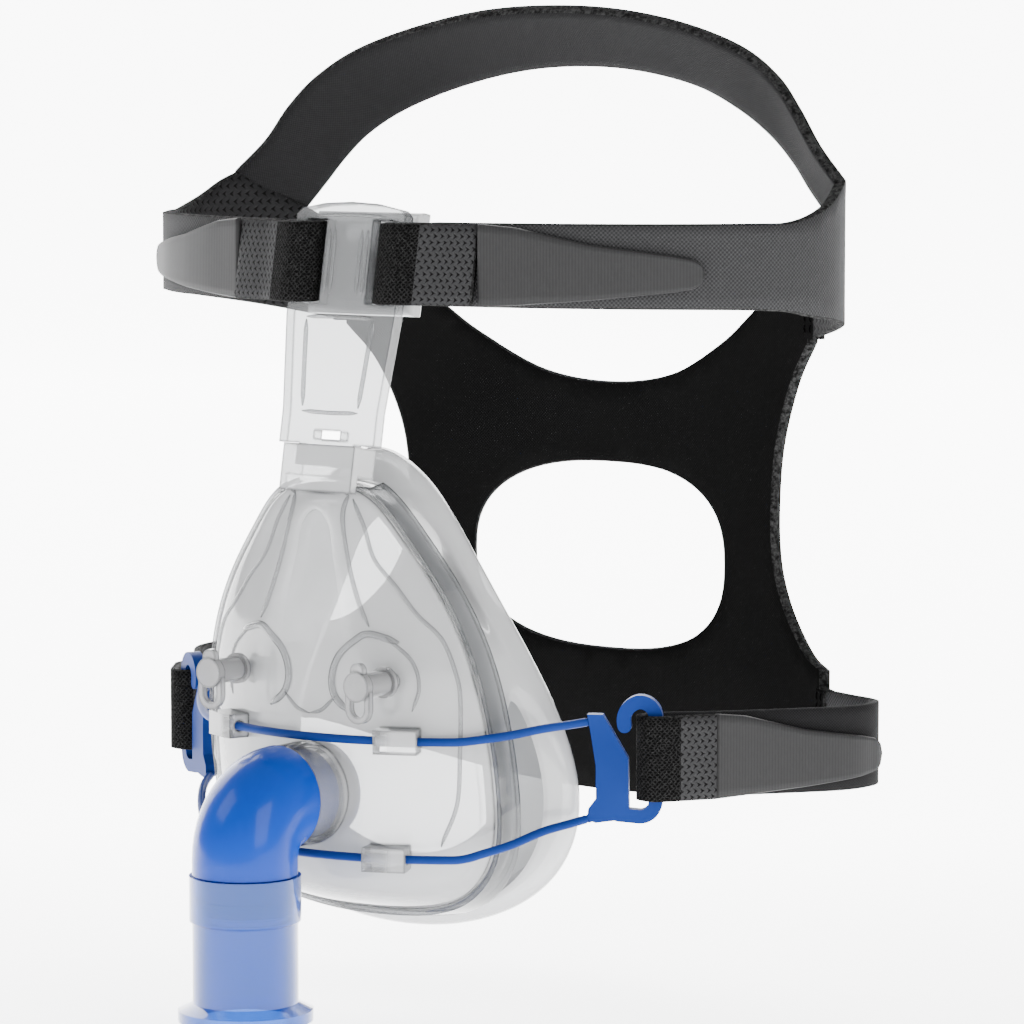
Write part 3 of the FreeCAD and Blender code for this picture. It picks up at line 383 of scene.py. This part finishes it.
# Curves and meshes, in millimetres until the mesh is made
def smooth_path(points, step):
    """Evenly spaced points on a smooth curve through the given ones."""
    points = [np.array(p, float) for p in points]
    ends = [2 * points[0] - points[1]] + points + [2 * points[-1] - points[-2]]
    fine = []
    for p0, p1, p2, p3 in zip(ends, ends[1:], ends[2:], ends[3:]):
        for t in np.linspace(0, 1, 16, endpoint=False):
            fine.append(0.5 * (2 * p1 + (p2 - p0) * t + (2 * p0 - 5 * p1 + 4 * p2 - p3) * t ** 2
                               + (3 * p1 - p0 - 3 * p2 + p3) * t ** 3))
    fine.append(points[-1])
    fine = np.array(fine)
    length = np.concatenate([[0], np.cumsum(np.linalg.norm(np.diff(fine, axis=0), axis=1))])
    count = max(2, int(round(length[-1] / step)) + 1)
    where = np.linspace(0, length[-1], count)
    return np.stack([np.interp(where, length, fine[:, i]) for i in range(fine.shape[1])], axis=1)


def add_mesh(name, vertices, faces, materials, slots=None, uvs=None):
    mesh = bpy.data.meshes.new(name)
    mesh.from_pydata([tuple(float(c) * MM for c in v) for v in vertices], [], faces)
    for material in materials:
        mesh.materials.append(material)
    if slots is not None:
        mesh.polygons.foreach_set("material_index", slots)
    mesh.polygons.foreach_set("use_smooth", [True] * len(mesh.polygons))
    if uvs is not None:
        layer = mesh.uv_layers.new(name="cloth")
        loops = np.zeros(len(mesh.loops), np.int32)
        mesh.loops.foreach_get("vertex_index", loops)
        layer.data.foreach_set("uv", np.array(uvs, np.float32)[loops].ravel())
    mesh.validate()
    work = bmesh.new()
    work.from_mesh(mesh)
    bmesh.ops.recalc_face_normals(work, faces=work.faces)
    work.to_mesh(mesh)
    work.free()
    mesh.update()
    piece = bpy.data.objects.new(name, mesh)
    bpy.context.scene.collection.objects.link(piece)
    return piece


def band(name, outer, inner, across, materials, slot_of=None, bulge=0.3):
    """Closed strip between an outer and an inner grid of points, with soft side walls.

    outer and inner are (along, across, 3) arrays. across is the second fabric coordinate.
    materials are outside, inside, edge and any extra ones that slot_of(length) picks."""
    count, width = outer.shape[:2]
    run = np.concatenate([[0], np.cumsum(np.linalg.norm(np.diff(outer[:, width // 2], axis=0), axis=1))])
    rows = []
    uvs = []
    for i in range(count):
        top = outer[i]
        low = inner[i]
        middle_start = (top[0] + low[0]) / 2 + (top[0] - top[1]) / np.linalg.norm(top[0] - top[1]) * bulge
        middle_end = (top[-1] + low[-1]) / 2 + (top[-1] - top[-2]) / np.linalg.norm(top[-1] - top[-2]) * bulge
        rows.append(np.vstack([top, [middle_end], low[::-1], [middle_start]]))
        uvs.append([(run[i], a) for a in across[i]] + [(run[i], across[i][-1] + 1)]
                   + [(run[i], a) for a in across[i][::-1]] + [(run[i], across[i][0] - 1)])
    ring = 2 * width + 2
    vertices = np.vstack(rows)
    uv = np.array([p for row in uvs for p in row])
    faces, slots = [], []
    for i in range(count - 1):
        for j in range(ring):
            k = (j + 1) % ring
            faces.append((i * ring + j, (i + 1) * ring + j, (i + 1) * ring + k, i * ring + k))
            if j < width - 1:
                slots.append(slot_of(run[i]) if slot_of else 0)
            elif width < j + 1 < 2 * width + 1:
                slots.append(1)
            else:
                slots.append(2)
    for i in (0, count - 1):
        for j in range(width - 1):
            quad = [i * ring + j, i * ring + j + 1, i * ring + 2 * width - 1 - j, i * ring + 2 * width - j]
            faces.append(tuple(quad if i == 0 else quad[::-1]))
            slots.append(2)
        for tip in ([width - 1, width, width + 1], [2 * width, 2 * width + 1, 0]):
            tri = [i * ring + t for t in tip]
            faces.append(tuple(tri if i == 0 else tri[::-1]))
            slots.append(2)
    return add_mesh(name, vertices, faces, materials, slots, uv)


def inside(point, loop):
    x, y = point
    hit = False
    for (x1, y1), (x2, y2) in zip(loop, np.roll(loop, -1, axis=0)):
        if (y1 > y) != (y2 > y) and x < (x2 - x1) * (y - y1) / (y2 - y1) + x1:
            hit = not hit
    return hit


def wrapped(name, loops, to_space, cell, materials, bulge=0.4):
    """A flat cut piece with holes, wrapped on the head. loops[0] is the outline, the rest are holes."""
    points, edges = [], []
    for loop in loops:
        first = len(points)
        points += [tuple(p) for p in loop]
        edges += [(first + i, first + (i + 1) % len(loop)) for i in range(len(loop))]
    border = np.array(points)
    low, high = border.min(0), border.max(0)
    for x in np.arange(low[0] + cell / 2, high[0], cell):
        for y in np.arange(low[1] + cell / 2, high[1], cell):
            near = np.min(np.linalg.norm(border - (x, y), axis=1)) < cell * 0.55
            if near or not inside((x, y), loops[0]) or any(inside((x, y), hole) for hole in loops[1:]):
                continue
            points.append((x, y))
    made = geometry.delaunay_2d_cdt([Vector(p) for p in points], edges, [], 0, 1e-5)
    flat = np.array([tuple(v) for v in made[0]])
    triangles = []
    for face in made[2]:
        centre = flat[list(face)].mean(0)
        if inside(centre, loops[0]) and not any(inside(centre, hole) for hole in loops[1:]):
            a, b, c = face
            turn = np.cross(flat[b] - flat[a], flat[c] - flat[a])
            triangles.append((a, b, c) if turn > 0 else (a, c, b))
    outer = np.array([to_space(p, 0.0) for p in flat])
    inner = np.array([to_space(p, LAMINATE) for p in flat])
    count = len(flat)
    directed = {}
    for a, b, c in triangles:
        for edge in ((a, b), (b, c), (c, a)):
            directed[edge] = True
    rim = [e for e in directed if (e[1], e[0]) not in directed]
    outward = {}
    for a, b in rim:
        along = flat[b] - flat[a]
        normal = np.array([along[1], -along[0]]) / max(1e-9, np.linalg.norm(along))
        for v in (a, b):
            outward[v] = outward.get(v, np.zeros(2)) + normal
    middle_index = {}
    middles = []
    for v, normal in outward.items():
        shifted = flat[v] + normal / max(1e-9, np.linalg.norm(normal)) * bulge
        middle_index[v] = 2 * count + len(middles)
        middles.append(to_space(shifted, LAMINATE / 2))
    vertices = np.vstack([outer, inner, np.array(middles)])
    uv = np.vstack([flat, flat, np.array([flat[v] for v in middle_index])])
    faces = [tuple(t) for t in triangles]
    slots = [0] * len(faces)
    faces += [(a + count, c + count, b + count) for a, b, c in triangles]
    slots += [1] * len(triangles)
    for a, b in rim:
        faces.append((b, a, middle_index[a], middle_index[b]))
        faces.append((middle_index[b], middle_index[a], a + count, b + count))
        slots += [2, 2]
    return add_mesh(name, vertices, faces, materials, slots, uv)


# Head plan: two half ellipses, and lengths measured round them from the wearer's left
def head_point(degrees, inset=0.0):
    angle = math.radians(degrees)
    depth = HEAD_BACK if degrees > 0 else HEAD_FRONT
    return np.array([(HEAD_WIDTH - inset) * math.cos(angle), HEAD_CENTRE + (depth - inset) * math.sin(angle)])


def front_degrees(x):
    """Plan angle for a distance from the mid plane, in front of the ears."""
    return -math.degrees(math.acos(x / HEAD_WIDTH))


ANGLES = np.linspace(-90, 270, 1441)
PLAN = np.array([head_point(a) if a <= 180 else head_point(a - 360) for a in ANGLES])
LENGTHS = np.concatenate([[0], np.cumsum(np.linalg.norm(np.diff(PLAN, axis=0), axis=1))])
LENGTHS -= np.interp(0, ANGLES, LENGTHS)
LOWER_SEAM_POINT = head_point(math.degrees(math.acos(LOWER_SEAM / HEAD_WIDTH)))
LOWER_CORNER = np.array([HEAD_WIDTH + 5.0, LOWER_SEAM_POINT[1] - 15.6])
BEFORE_CORNER = LOWER_CORNER - (2.4, 9)


def length_at(degrees):
    return float(np.interp(degrees, ANGLES, LENGTHS))


def head_space(point, inset):
    """From (length round the head, height) to space."""
    degrees = float(np.interp(point[0], LENGTHS, ANGLES))
    x, y = head_point(degrees, inset)
    return (x, y, point[1])


def back_length(x):
    """Length for a distance from the mid plane, behind the ears."""
    return length_at(math.degrees(math.acos(max(-1.0, min(1.0, x / HEAD_WIDTH)))))


def side_length(y):
    """Length on the wearer's left for a distance behind the sealing plane."""
    depth = HEAD_BACK if y > HEAD_CENTRE else HEAD_FRONT
    return length_at(math.degrees(math.asin(max(-1.0, min(1.0, (y - HEAD_CENTRE) / depth)))))


def mirror_piece(piece, name):
    """The wearer's right copy of a left piece."""
    mesh = piece.data.copy()
    mesh.name = name
    coordinates = np.zeros(len(mesh.vertices) * 3, np.float32)
    mesh.vertices.foreach_get("co", coordinates)
    coordinates[0::3] *= -1
    mesh.vertices.foreach_set("co", coordinates)
    mesh.flip_normals()
    copy = bpy.data.objects.new(name, mesh)
    bpy.context.scene.collection.objects.link(copy)
    return copy


def pair(piece, stem, body, node=None, blend=None):
    """Mirrors a left piece and fixes both to their bodies; given a blend, it only bakes both pieces' transforms
    and fixes them to no body.
    """
    right = mirror_piece(piece, stem + "_right")
    for side, hand, name in ((piece, 1, "_left"), (right, -1, "_right")):
        if blend:
            start, end = blend
            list(start[1:])
            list(end[1:])
            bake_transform(side)
        else:
            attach(side, body)
        if node:
            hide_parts(node + name)


# Headgear
def make_back_panel():
    waist = 57.5
    right = smooth_path([
        (SEAM_X - 0.1, 79.6), (waist + 7, 69.5), (waist + 1, 54.0), (waist - 0.8, 38.0), (waist, 25.0),
        (waist + 3.5, 15.5), (waist + 9, 8.0), (waist + 15, 2.9), (79.0, 0.9)], 2.0)
    top = smooth_path([
        (SEAM_X - 0.1, 102.0), (50, 86), (38, 77.4), (20, 68.6), (0, 66), (-20, 68.6), (-38, 77.4), (-50, 86),
        (-SEAM_X + 0.1, 102.0)], 2.5)
    bottom = smooth_path([
        (-79, LOWER_LOW), (-60, -29), (-30, -35.4), (0, -37.5), (30, -35.4), (60, -29), (79, LOWER_LOW)], 2.5)
    left = [(-x, z) for x, z in right]
    outline = [*top[:-1], *left, *bottom, *right[::-1]]
    outline = [(back_length(x), z) for x, z in outline]
    hole_half_width, hole_half_height, hole_middle, squareness = 39.5, 24.0, 22.4, 0.8
    hole = []
    for degrees in range(0, 360, 5):
        a = math.radians(degrees)
        x = hole_half_width * math.copysign(abs(math.cos(a)) ** squareness, math.cos(a))
        z = hole_middle + hole_half_height * math.copysign(abs(math.sin(a)) ** squareness, math.sin(a))
        hole.append((back_length(x), z))
    panel = wrapped("back_panel_cloth", [np.array(outline[::-1]), np.array(hole)], head_space, 4.0,
                    [GREY_WEAVE, BLACK_KNIT, EDGE])
    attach(panel, "mask")
    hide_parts("back_panel")


def make_upper_strap():
    """Side piece from behind the support, past the temple, to the panel and the crown strap."""
    middle = HEAD_CENTRE - 5
    seam = back_length(SEAM_X + 0.3)
    start = length_at(front_degrees(22.1))
    foot = (side_length(CROWN_FOOT[0]), CROWN_FOOT[1])
    root = (side_length(LOBE_ROOT[0]), LOBE_ROOT[1])
    lower = smooth_path([
        (start, UPPER_LOW), (side_length(middle - 18), UPPER_LOW - 0.5), (side_length(middle), UPPER_LOW - 2.6),
        (side_length(middle + 20), UPPER_LOW - 5.5), (seam, UPPER_LOW - 10.0)], 2.0)
    upper = smooth_path([
        (start, UPPER_HIGH), (side_length(middle - 18), UPPER_HIGH), (side_length(middle - 9), UPPER_HIGH),
        (side_length(middle - 1), UPPER_HIGH + 1.6), (side_length(middle + 6), UPPER_HIGH + 4.0),
        (side_length(middle + 12), UPPER_HIGH + 7.2), foot], 2.0)
    seam_line = smooth_path([foot, root], 2.0)
    back = smooth_path([root, (seam, UPPER_HIGH - 7.5), (seam, UPPER_LOW - 10.0)], 2.0)
    front = smooth_path([(start, UPPER_HIGH), (start, UPPER_LOW)], 2.0)
    outline = [*lower[:-1], *back[::-1][:-1], *seam_line[::-1][:-1], *upper[::-1][:-1], *front[:-1]]
    piece = wrapped("upper_strap_cloth_left", [np.array(outline)], head_space, 3.5,
                    [GREY_WEAVE, MESH_LINING, EDGE])
    pair(piece, "upper_strap_cloth", "mask", "upper_strap")


def plan_band(name, points, thickness, low, high, materials, slot_of=None, step=1.2, rows=9, shear=0.0):
    """Strip of even thickness that stands up from a plan path; outside is the path's left."""
    path = smooth_path(points, step)
    along = np.gradient(path, axis=0)
    along /= np.linalg.norm(along, axis=1)[:, None]
    normal = np.stack([-along[:, 1], along[:, 0]], axis=1)
    heights = np.linspace(0, 1, rows)
    outer, inner, across = [], [], []
    for i in range(len(path)):
        share = i / (len(path) - 1)
        z = low(share) + (high(share) - low(share)) * heights
        lean = (z - SUPPORT_HEIGHT) * shear
        for store, hand in ((outer, 1), (inner, -1)):
            flat = path[i] + normal[i] * hand * thickness / 2
            store.append(np.stack([np.full(rows, flat[0]), flat[1] + lean, z], axis=1))
        across.append(z)
    return band(name, np.array(outer), np.array(inner), np.array(across), materials, slot_of)


def make_upper_loop():
    """The strap's end: round the support's outer bar and forward again, its pile side out."""
    bar, bar_thickness, gap = np.array([13.0, -18.7]), 3.0, 0.6
    loop = bar_thickness / 2 + gap + STRAP / 2
    outside = STRAP / 2 + 0.35
    points = [tuple(head_point(front_degrees(x), -outside)) for x in (34, 29, 24)]
    points.append((bar[0] + 3.6, bar[1] - loop + 0.1))
    for degrees in (-90, -130, -180, -230, -270):
        a = math.radians(degrees)
        points.append((bar[0] + math.cos(a) * loop, bar[1] + math.sin(a) * loop))
    points.append((bar[0] + 5.0, bar[1] + loop - 0.1))
    points.append(tuple(head_point(front_degrees(24.6), LAMINATE / 2)))
    piece = plan_band(
        "upper_loop_left", points, STRAP, lambda t: UPPER_LOW + 0.15, lambda t: UPPER_HIGH - 0.15,
        [PILE, DARK_LINING, EDGE, WELD], lambda run: 3 if run < 14.0 else 0,
        shear=math.tan(math.radians(10.4)))
    pair(piece, "upper_loop", "mask", None)


def tab_edges(low, high, tip, share):
    """Heights of a tab's two edges: full at the weld, then waisted, then a rounded tip."""
    marks = [0, 0.17, 0.5, 0.85, 1.0]
    round_from = 0.93

    def edge(heights):
        def height_at(t):
            body = np.interp(t, marks, heights)
            if t < round_from:
                return body
            left = 1 - ((t - round_from) / (1 - round_from)) ** 2
            return tip + (body - tip) * math.sqrt(max(1e-12, left))

        return height_at

    bottom = edge([low, low + 0.5, low + share, low + share * 2, low + share * 2.6])
    top = edge([high, high - 0.8, high - 4.6, high - 7.0, high - 8.4])
    return bottom, top


def make_upper_tab():
    points = [tuple(head_point(front_degrees(x), -1.0 - lift)) for x, lift in (
        (34.8, 0.6), (40, 0.3), (50, 0.2), (60, 0.2), (70, 0.2), (80.4, 0.2))]
    bottom, top = tab_edges(UPPER_LOW, UPPER_HIGH, SUPPORT_HEIGHT - 1.6, 1.8)
    piece = plan_band("upper_tab_skin_left", points[::-1], 1.4, lambda t: bottom(1 - t), lambda t: top(1 - t),
                      [TAB, TAB, TAB], step=0.8, rows=11)
    pair(piece, "upper_tab_skin", "mask", "upper_tab")


def hook_pin():
    """Plan place of the pin that the lower strap folds round, at the end of the glider's bars."""
    toe = math.radians(HOOK_TOE)
    bar_end = np.array([BAR_END, BAR_CENTRE - math.sqrt(BAR_RADIUS ** 2 - BAR_END ** 2)])
    return bar_end + np.array([math.cos(toe), math.sin(toe)]) * HOOK_REACH


def lower_directions():
    pin = hook_pin()
    along = BEFORE_CORNER - pin
    along /= np.linalg.norm(along)
    return pin, along, np.array([along[1], -along[0]])


def make_lower_strap():
    pin, along, side = lower_directions()
    pin_radius, gap = 1.6, 0.8
    loop = pin_radius + gap + STRAP / 2
    start = head_point(math.degrees(math.acos((LOWER_SEAM + 1.6) / HEAD_WIDTH)), STRAP / 2)
    points = [
        pin + side * (loop - 0.3) + along * (LOWER_TAB_START - 0.2),
        pin + side * (loop - 0.2) + along * 9,
        pin + side * loop + along * 5]
    base = math.degrees(math.atan2(side[1], side[0]))
    for step in (0, -40, -90, -140, -180):
        a = math.radians(base + step)
        points.append(pin + np.array([math.cos(a), math.sin(a)]) * loop)
    points += [
        pin - side * (loop - 0.4) + along * 6, pin + along * 14 - side * 1.4, pin + along * 30 - side * 0.3,
        BEFORE_CORNER, LOWER_CORNER, LOWER_CORNER + (-2.8, 6.6), start + (9.4, -4.0), start]

    def slot_of(run):
        if run < 8.4:
            return 3
        return 4 if run < 21.5 else 0

    piece = plan_band("lower_strap_cloth_left", points, STRAP, lambda t: LOWER_LOW, lambda t: LOWER_HIGH,
                      [GREY_WEAVE, DARK_LINING, EDGE, WELD, PILE], slot_of, step=1.0)
    pair(piece, "lower_strap_cloth", ("mask", "strap_glider"), "lower_strap", LOWER_BLEND)


def make_lower_tab():
    pin, along, side = lower_directions()
    start = pin + along * LOWER_TAB_START + side * 3.1
    points = [start, start + along * 12 - side * 0.5, BEFORE_CORNER + side * 2.5,
              LOWER_CORNER + (2.4, -2.0), LOWER_CORNER + (2.6, 1.0)]
    low, high = LOWER_LOW, LOWER_HIGH
    bottom, top = tab_edges(low, high, high - 11.5, 1.7)
    piece = plan_band("lower_tab_skin_left", points[::-1], 1.4, lambda t: bottom(1 - t), lambda t: top(1 - t),
                      [TAB, TAB, TAB], step=0.8, rows=11)
    pair(piece, "lower_tab_skin", ("mask", "strap_glider"), "lower_tab", LOWER_BLEND)


def make_seam(name, seam_x, low, high):
    """Sewn tape that joins a strap to the back panel, with two rows of stitches inside."""
    middle = back_length(seam_x)
    heights = np.linspace(low, high, 15)
    spread = np.linspace(-2.6, 2.6, 7)
    outer = np.array([[head_space((middle + d, z), -0.15) for d in spread] for z in heights])
    inner = np.array([[head_space((middle + d, z), LAMINATE + 0.15) for d in spread] for z in heights])
    across = np.tile(spread + 2.6, (len(heights), 1))
    tape = band(name + "_tape_left", outer, inner, across, [GREY_WEAVE, BLACK_KNIT, EDGE], bulge=0.1)
    pair(tape, name + "_tape", "mask")
    vertices, faces = [], []
    for d in (-1.5, 1.5):
        for z in np.arange(low + 1.5, high - 2.5, 2.6):
            places = [(z, 0.1), (z + 0.6, 0.35), (z + 1.3, 0.35), (z + 1.9, 0.1)]
            path = np.array([head_space((middle + d, h), LAMINATE + 0.15 + lift) for h, lift in places])
            tube_mesh(path, [Vector((0.3, 1.0, 0.0))] * 4, vertices, faces, 0.28)
    stitches = add_mesh(name + "_stitches_left", vertices, faces, [DARK_THREAD])
    pair(stitches, name + "_stitches", "mask")


def make_crown_strap():
    top, tip, root = 160.5, LOBE_TIP_HEIGHT, LOBE_ROOT[1]
    half = [
        (92.1, 51.6, 0.015, 82.0, 66.6, 0.015), (84.0, 53.6, 0.20, 75.0, 67.4, 0.16),
        (77.3, 55.0, 0.41, 69.4, 68.4, 0.29), (69.8, 57.2, 0.59, 61.8, 70.0, 0.41),
        (58.0, 59.6, 0.756, 51.0, 72.4, 0.53), (40.0, 61.8, 0.891, 36.0, 75.4, 0.66),
        (20.0, 62.0, 0.976, 18.0, 76.6, 0.728), (0.0, 62.0, 1.0, 0.0, 77.0, 0.75)]
    front = [np.array([x, y, tip + (top - tip) * share]) for x, y, share, *_ in half]
    back = [np.array([x, y, root + (top - root) * share]) for *_, x, y, share in half]
    front += [p * (-1, 1, 1) for p in front[-2::-1]]
    back += [p * (-1, 1, 1) for p in back[-2::-1]]
    for i, (a, b) in enumerate(zip(front, back)):
        if abs(a[0]) < 80:
            back[i] = a + (b - a) / np.linalg.norm(b - a) * CROWN_WIDTH
    steps = np.linspace(0, 1, 141)
    keys = np.linspace(0, 1, len(front))

    def along_edge(edge):
        path = smooth_path(edge, 0.5)
        share = np.linspace(0, 1, len(path))
        marks = [np.argmin(np.linalg.norm(path - p, axis=1)) / (len(path) - 1) for p in edge]
        where = np.interp(steps, keys, marks)
        return np.stack([np.interp(where, share, path[:, i]) for i in range(3)], axis=1)

    first, last = along_edge(front), along_edge(back)
    rows = 9
    swell = np.sin(np.linspace(0, math.pi, rows)) * 0.3
    outer = np.zeros((len(steps), rows, 3))
    for j, t in enumerate(np.linspace(0, 1, rows)):
        outer[:, j] = first + (last - first) * t
    run = np.gradient(outer, axis=0)
    wide = (last - first)[:, None, :]
    out = np.cross(run, np.broadcast_to(wide, run.shape))
    out /= np.linalg.norm(out, axis=2)[:, :, None]
    if out[len(steps) // 2, rows // 2, 2] < 0:
        out = -out
    outer = outer + out * swell[None, :, None]
    inner = outer - out * LAMINATE
    across = np.tile(np.linspace(0, CROWN_WIDTH, rows), (len(steps), 1))
    piece = band("crown_strap_cloth", outer, inner, across, [GREY_WEAVE, DARK_LINING, EDGE])
    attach(piece, "mask")
    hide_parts("crown_strap")


# Raised lines on the clear parts, along their ridges, creases and recess edges, in a darker clear material: partly
# real relief, partly painted shade
def shell_ribs():
    """Raised lines on the wearer's left half of the shell: radius, then points across and up."""
    return [
        (0.6, [(8.2, 48.0), (7.5, 42.1), (10.1, 30.8), (13.5, 21.5), (16.0, 16.8)]),
        (0.5, [(9.3, 45.8), (12.8, 39.6), (15.9, 32.3), (21.6, 26.1), (26.8, 19.9), (32.4, 14.3), (35.6, 5.8),
               (36.4, -0.9), (36.2, -11.5), (35.2, -24.0), (31.4, -34.0)]),
        (0.9, [(23.2, 13.4), (16.1, 15.1), (12.7, 13.6), (8.2, 9.6), (6.4, 4.6), (7.5, 0.2), (11.6, -3.2)]),
        (0.45, [(20.0, 14.6), (26.1, 9.4), (28.0, 3.4), (26.6, -2.4)]),
        (0.45, [(0.0, -4.3), (3.4, -3.4), (6.0, -1.3), (7.5, 0.2)])]


def tube_mesh(path, sides, vertices, faces, radius):
    """Add a round bead along the path, fading at both ends."""
    tangents = np.gradient(path, axis=0)
    count = len(path)
    first = len(vertices)
    for i, (p, along) in enumerate(zip(path, tangents)):
        along = along / np.linalg.norm(along)
        across = np.cross(along, sides[i])
        across /= np.linalg.norm(across)
        up = np.cross(across, along)
        fade = min(1.0, 0.3 + 0.25 * min(i, count - 1 - i))
        for k in range(8):
            turn = k * math.pi / 4
            vertices.append(p + (across * math.cos(turn) + up * math.sin(turn)) * radius * fade)
    for i in range(count - 1):
        for k in range(8):
            a, b = first + 8 * i, first + 8 * (i + 1)
            faces.append((a + k, a + (k + 1) % 8, b + (k + 1) % 8, b + k))
    faces.append(tuple(range(first + 7, first - 1, -1)))
    faces.append(tuple(range(first + 8 * (count - 1), first + 8 * count)))


def support_ribs():
    """Raised lines on the forehead support, both halves: radius, then points across and up."""
    column = [(0.5, [(x, 92.5), (x, 99.0), (x, 107.5)]) for x in (-5.6, -3.9, 3.9, 5.6)]
    sides = [(0.55, [(hand * 9.8, 86.6), (hand * 9.0, 76.0), (hand * 8.2, 66.5)]) for hand in (-1, 1)]
    cross = [(0.5, [(-9.8, 87.2), (0.0, 87.4), (9.8, 87.2)]), (0.5, [(-8.2, 65.4), (0.0, 65.2), (8.2, 65.4)]),
             (0.4, [(-10.5, 110.6), (0.0, 111.0), (10.5, 110.6)])]
    return column + sides + cross


def lay_ribs(name, node_name, ribs):
    """Beads that follow a node's front face."""
    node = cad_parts[node_name]
    corners = [node.matrix_world @ v.co for v in node.data.vertices]
    surface = BVHTree.FromPolygons(corners, [list(p.vertices) for p in node.data.polygons])
    vertices, faces = [], []
    for radius, points in ribs:
        path, sides = [], []
        for x, _, z in smooth_path([(x, 0.0, z) for x, z in points], 0.8):
            spot, normal, *_ = surface.ray_cast(Vector((x * MM, -0.2, z * MM)), Vector((0, 1, 0)))
            if spot is None or abs(normal.y) < 0.3:
                continue
            path.append(np.array(spot) / MM)
            sides.append(np.array(normal))
        if len(path) > 3:
            tube_mesh(np.array(path), sides, vertices, faces, radius)
    return add_mesh(name, vertices, faces, [CLEAR_RIDGE_SHADE])


def make_ribs():
    left = lay_ribs("shell_ribs_left", "mask_shell", shell_ribs())
    right = mirror_piece(left, "shell_ribs_right")
    middle = lay_ribs("support_ribs", "forehead_support", support_ribs())
    for ribs in (left, right, middle):
        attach(ribs, "mask")


# Studio and build
def make_studio():
    """Pale floor that bends up behind the object, a white world and three soft lights."""
    floor_z, top, half_width = -0.0785, 3.5, 4.0
    reach, bend = 3.0, 0.8
    profile = [(-reach, floor_z)]
    for a in np.linspace(0, math.pi / 2, 25):
        profile.append((reach - bend + bend * math.sin(a), floor_z + bend * (1 - math.cos(a))))
    profile.append((reach, top))
    direction = np.array([-VIEW_ACROSS, VIEW_BACK])
    side = np.array([VIEW_BACK, VIEW_ACROSS])
    vertices, faces = [], []
    for hand in (-1, 1):
        for d, z in profile:
            p = direction * d + side * hand * half_width
            vertices.append((p[0] / MM, p[1] / MM, z / MM))
    n = len(profile)
    for i in range(n - 1):
        faces.append((i, i + 1, n + i + 1, n + i))
    floor = add_mesh("studio_floor", vertices, faces, [floor_material()])
    world = bpy.data.worlds.new("studio_world")
    world.use_nodes = True
    background = world.node_tree.nodes["Background"]
    background.inputs["Color"].default_value = (1, 1, 1, 1)
    background.inputs["Strength"].default_value = 0.9
    bpy.context.scene.world = world
    area_light("key_light", (-0.9, -1.1, 1.3), (0, 0, 0.03), (0.9, 0.9), 11)
    area_light("fill_light", (1.3, -0.5, 0.6), (0, 0, 0.03), (0.7, 1.0), 12)
    area_light("back_light", (-0.5, 1.2, 1.2), (0, 0, 0.06), (1.0, 0.6), 14)


make_camera()
make_studio()
make_back_panel()
make_upper_strap()
make_upper_loop()
make_upper_tab()
make_lower_strap()
make_lower_tab()
make_crown_strap()
make_seam("upper_seam", SEAM_X + 0.6, UPPER_LOW - 10.4, UPPER_HIGH - 8.8)
make_seam("lower_seam", LOWER_SEAM + 0.7, LOWER_LOW - 0.2, LOWER_HIGH + 0.2)
make_ribs()
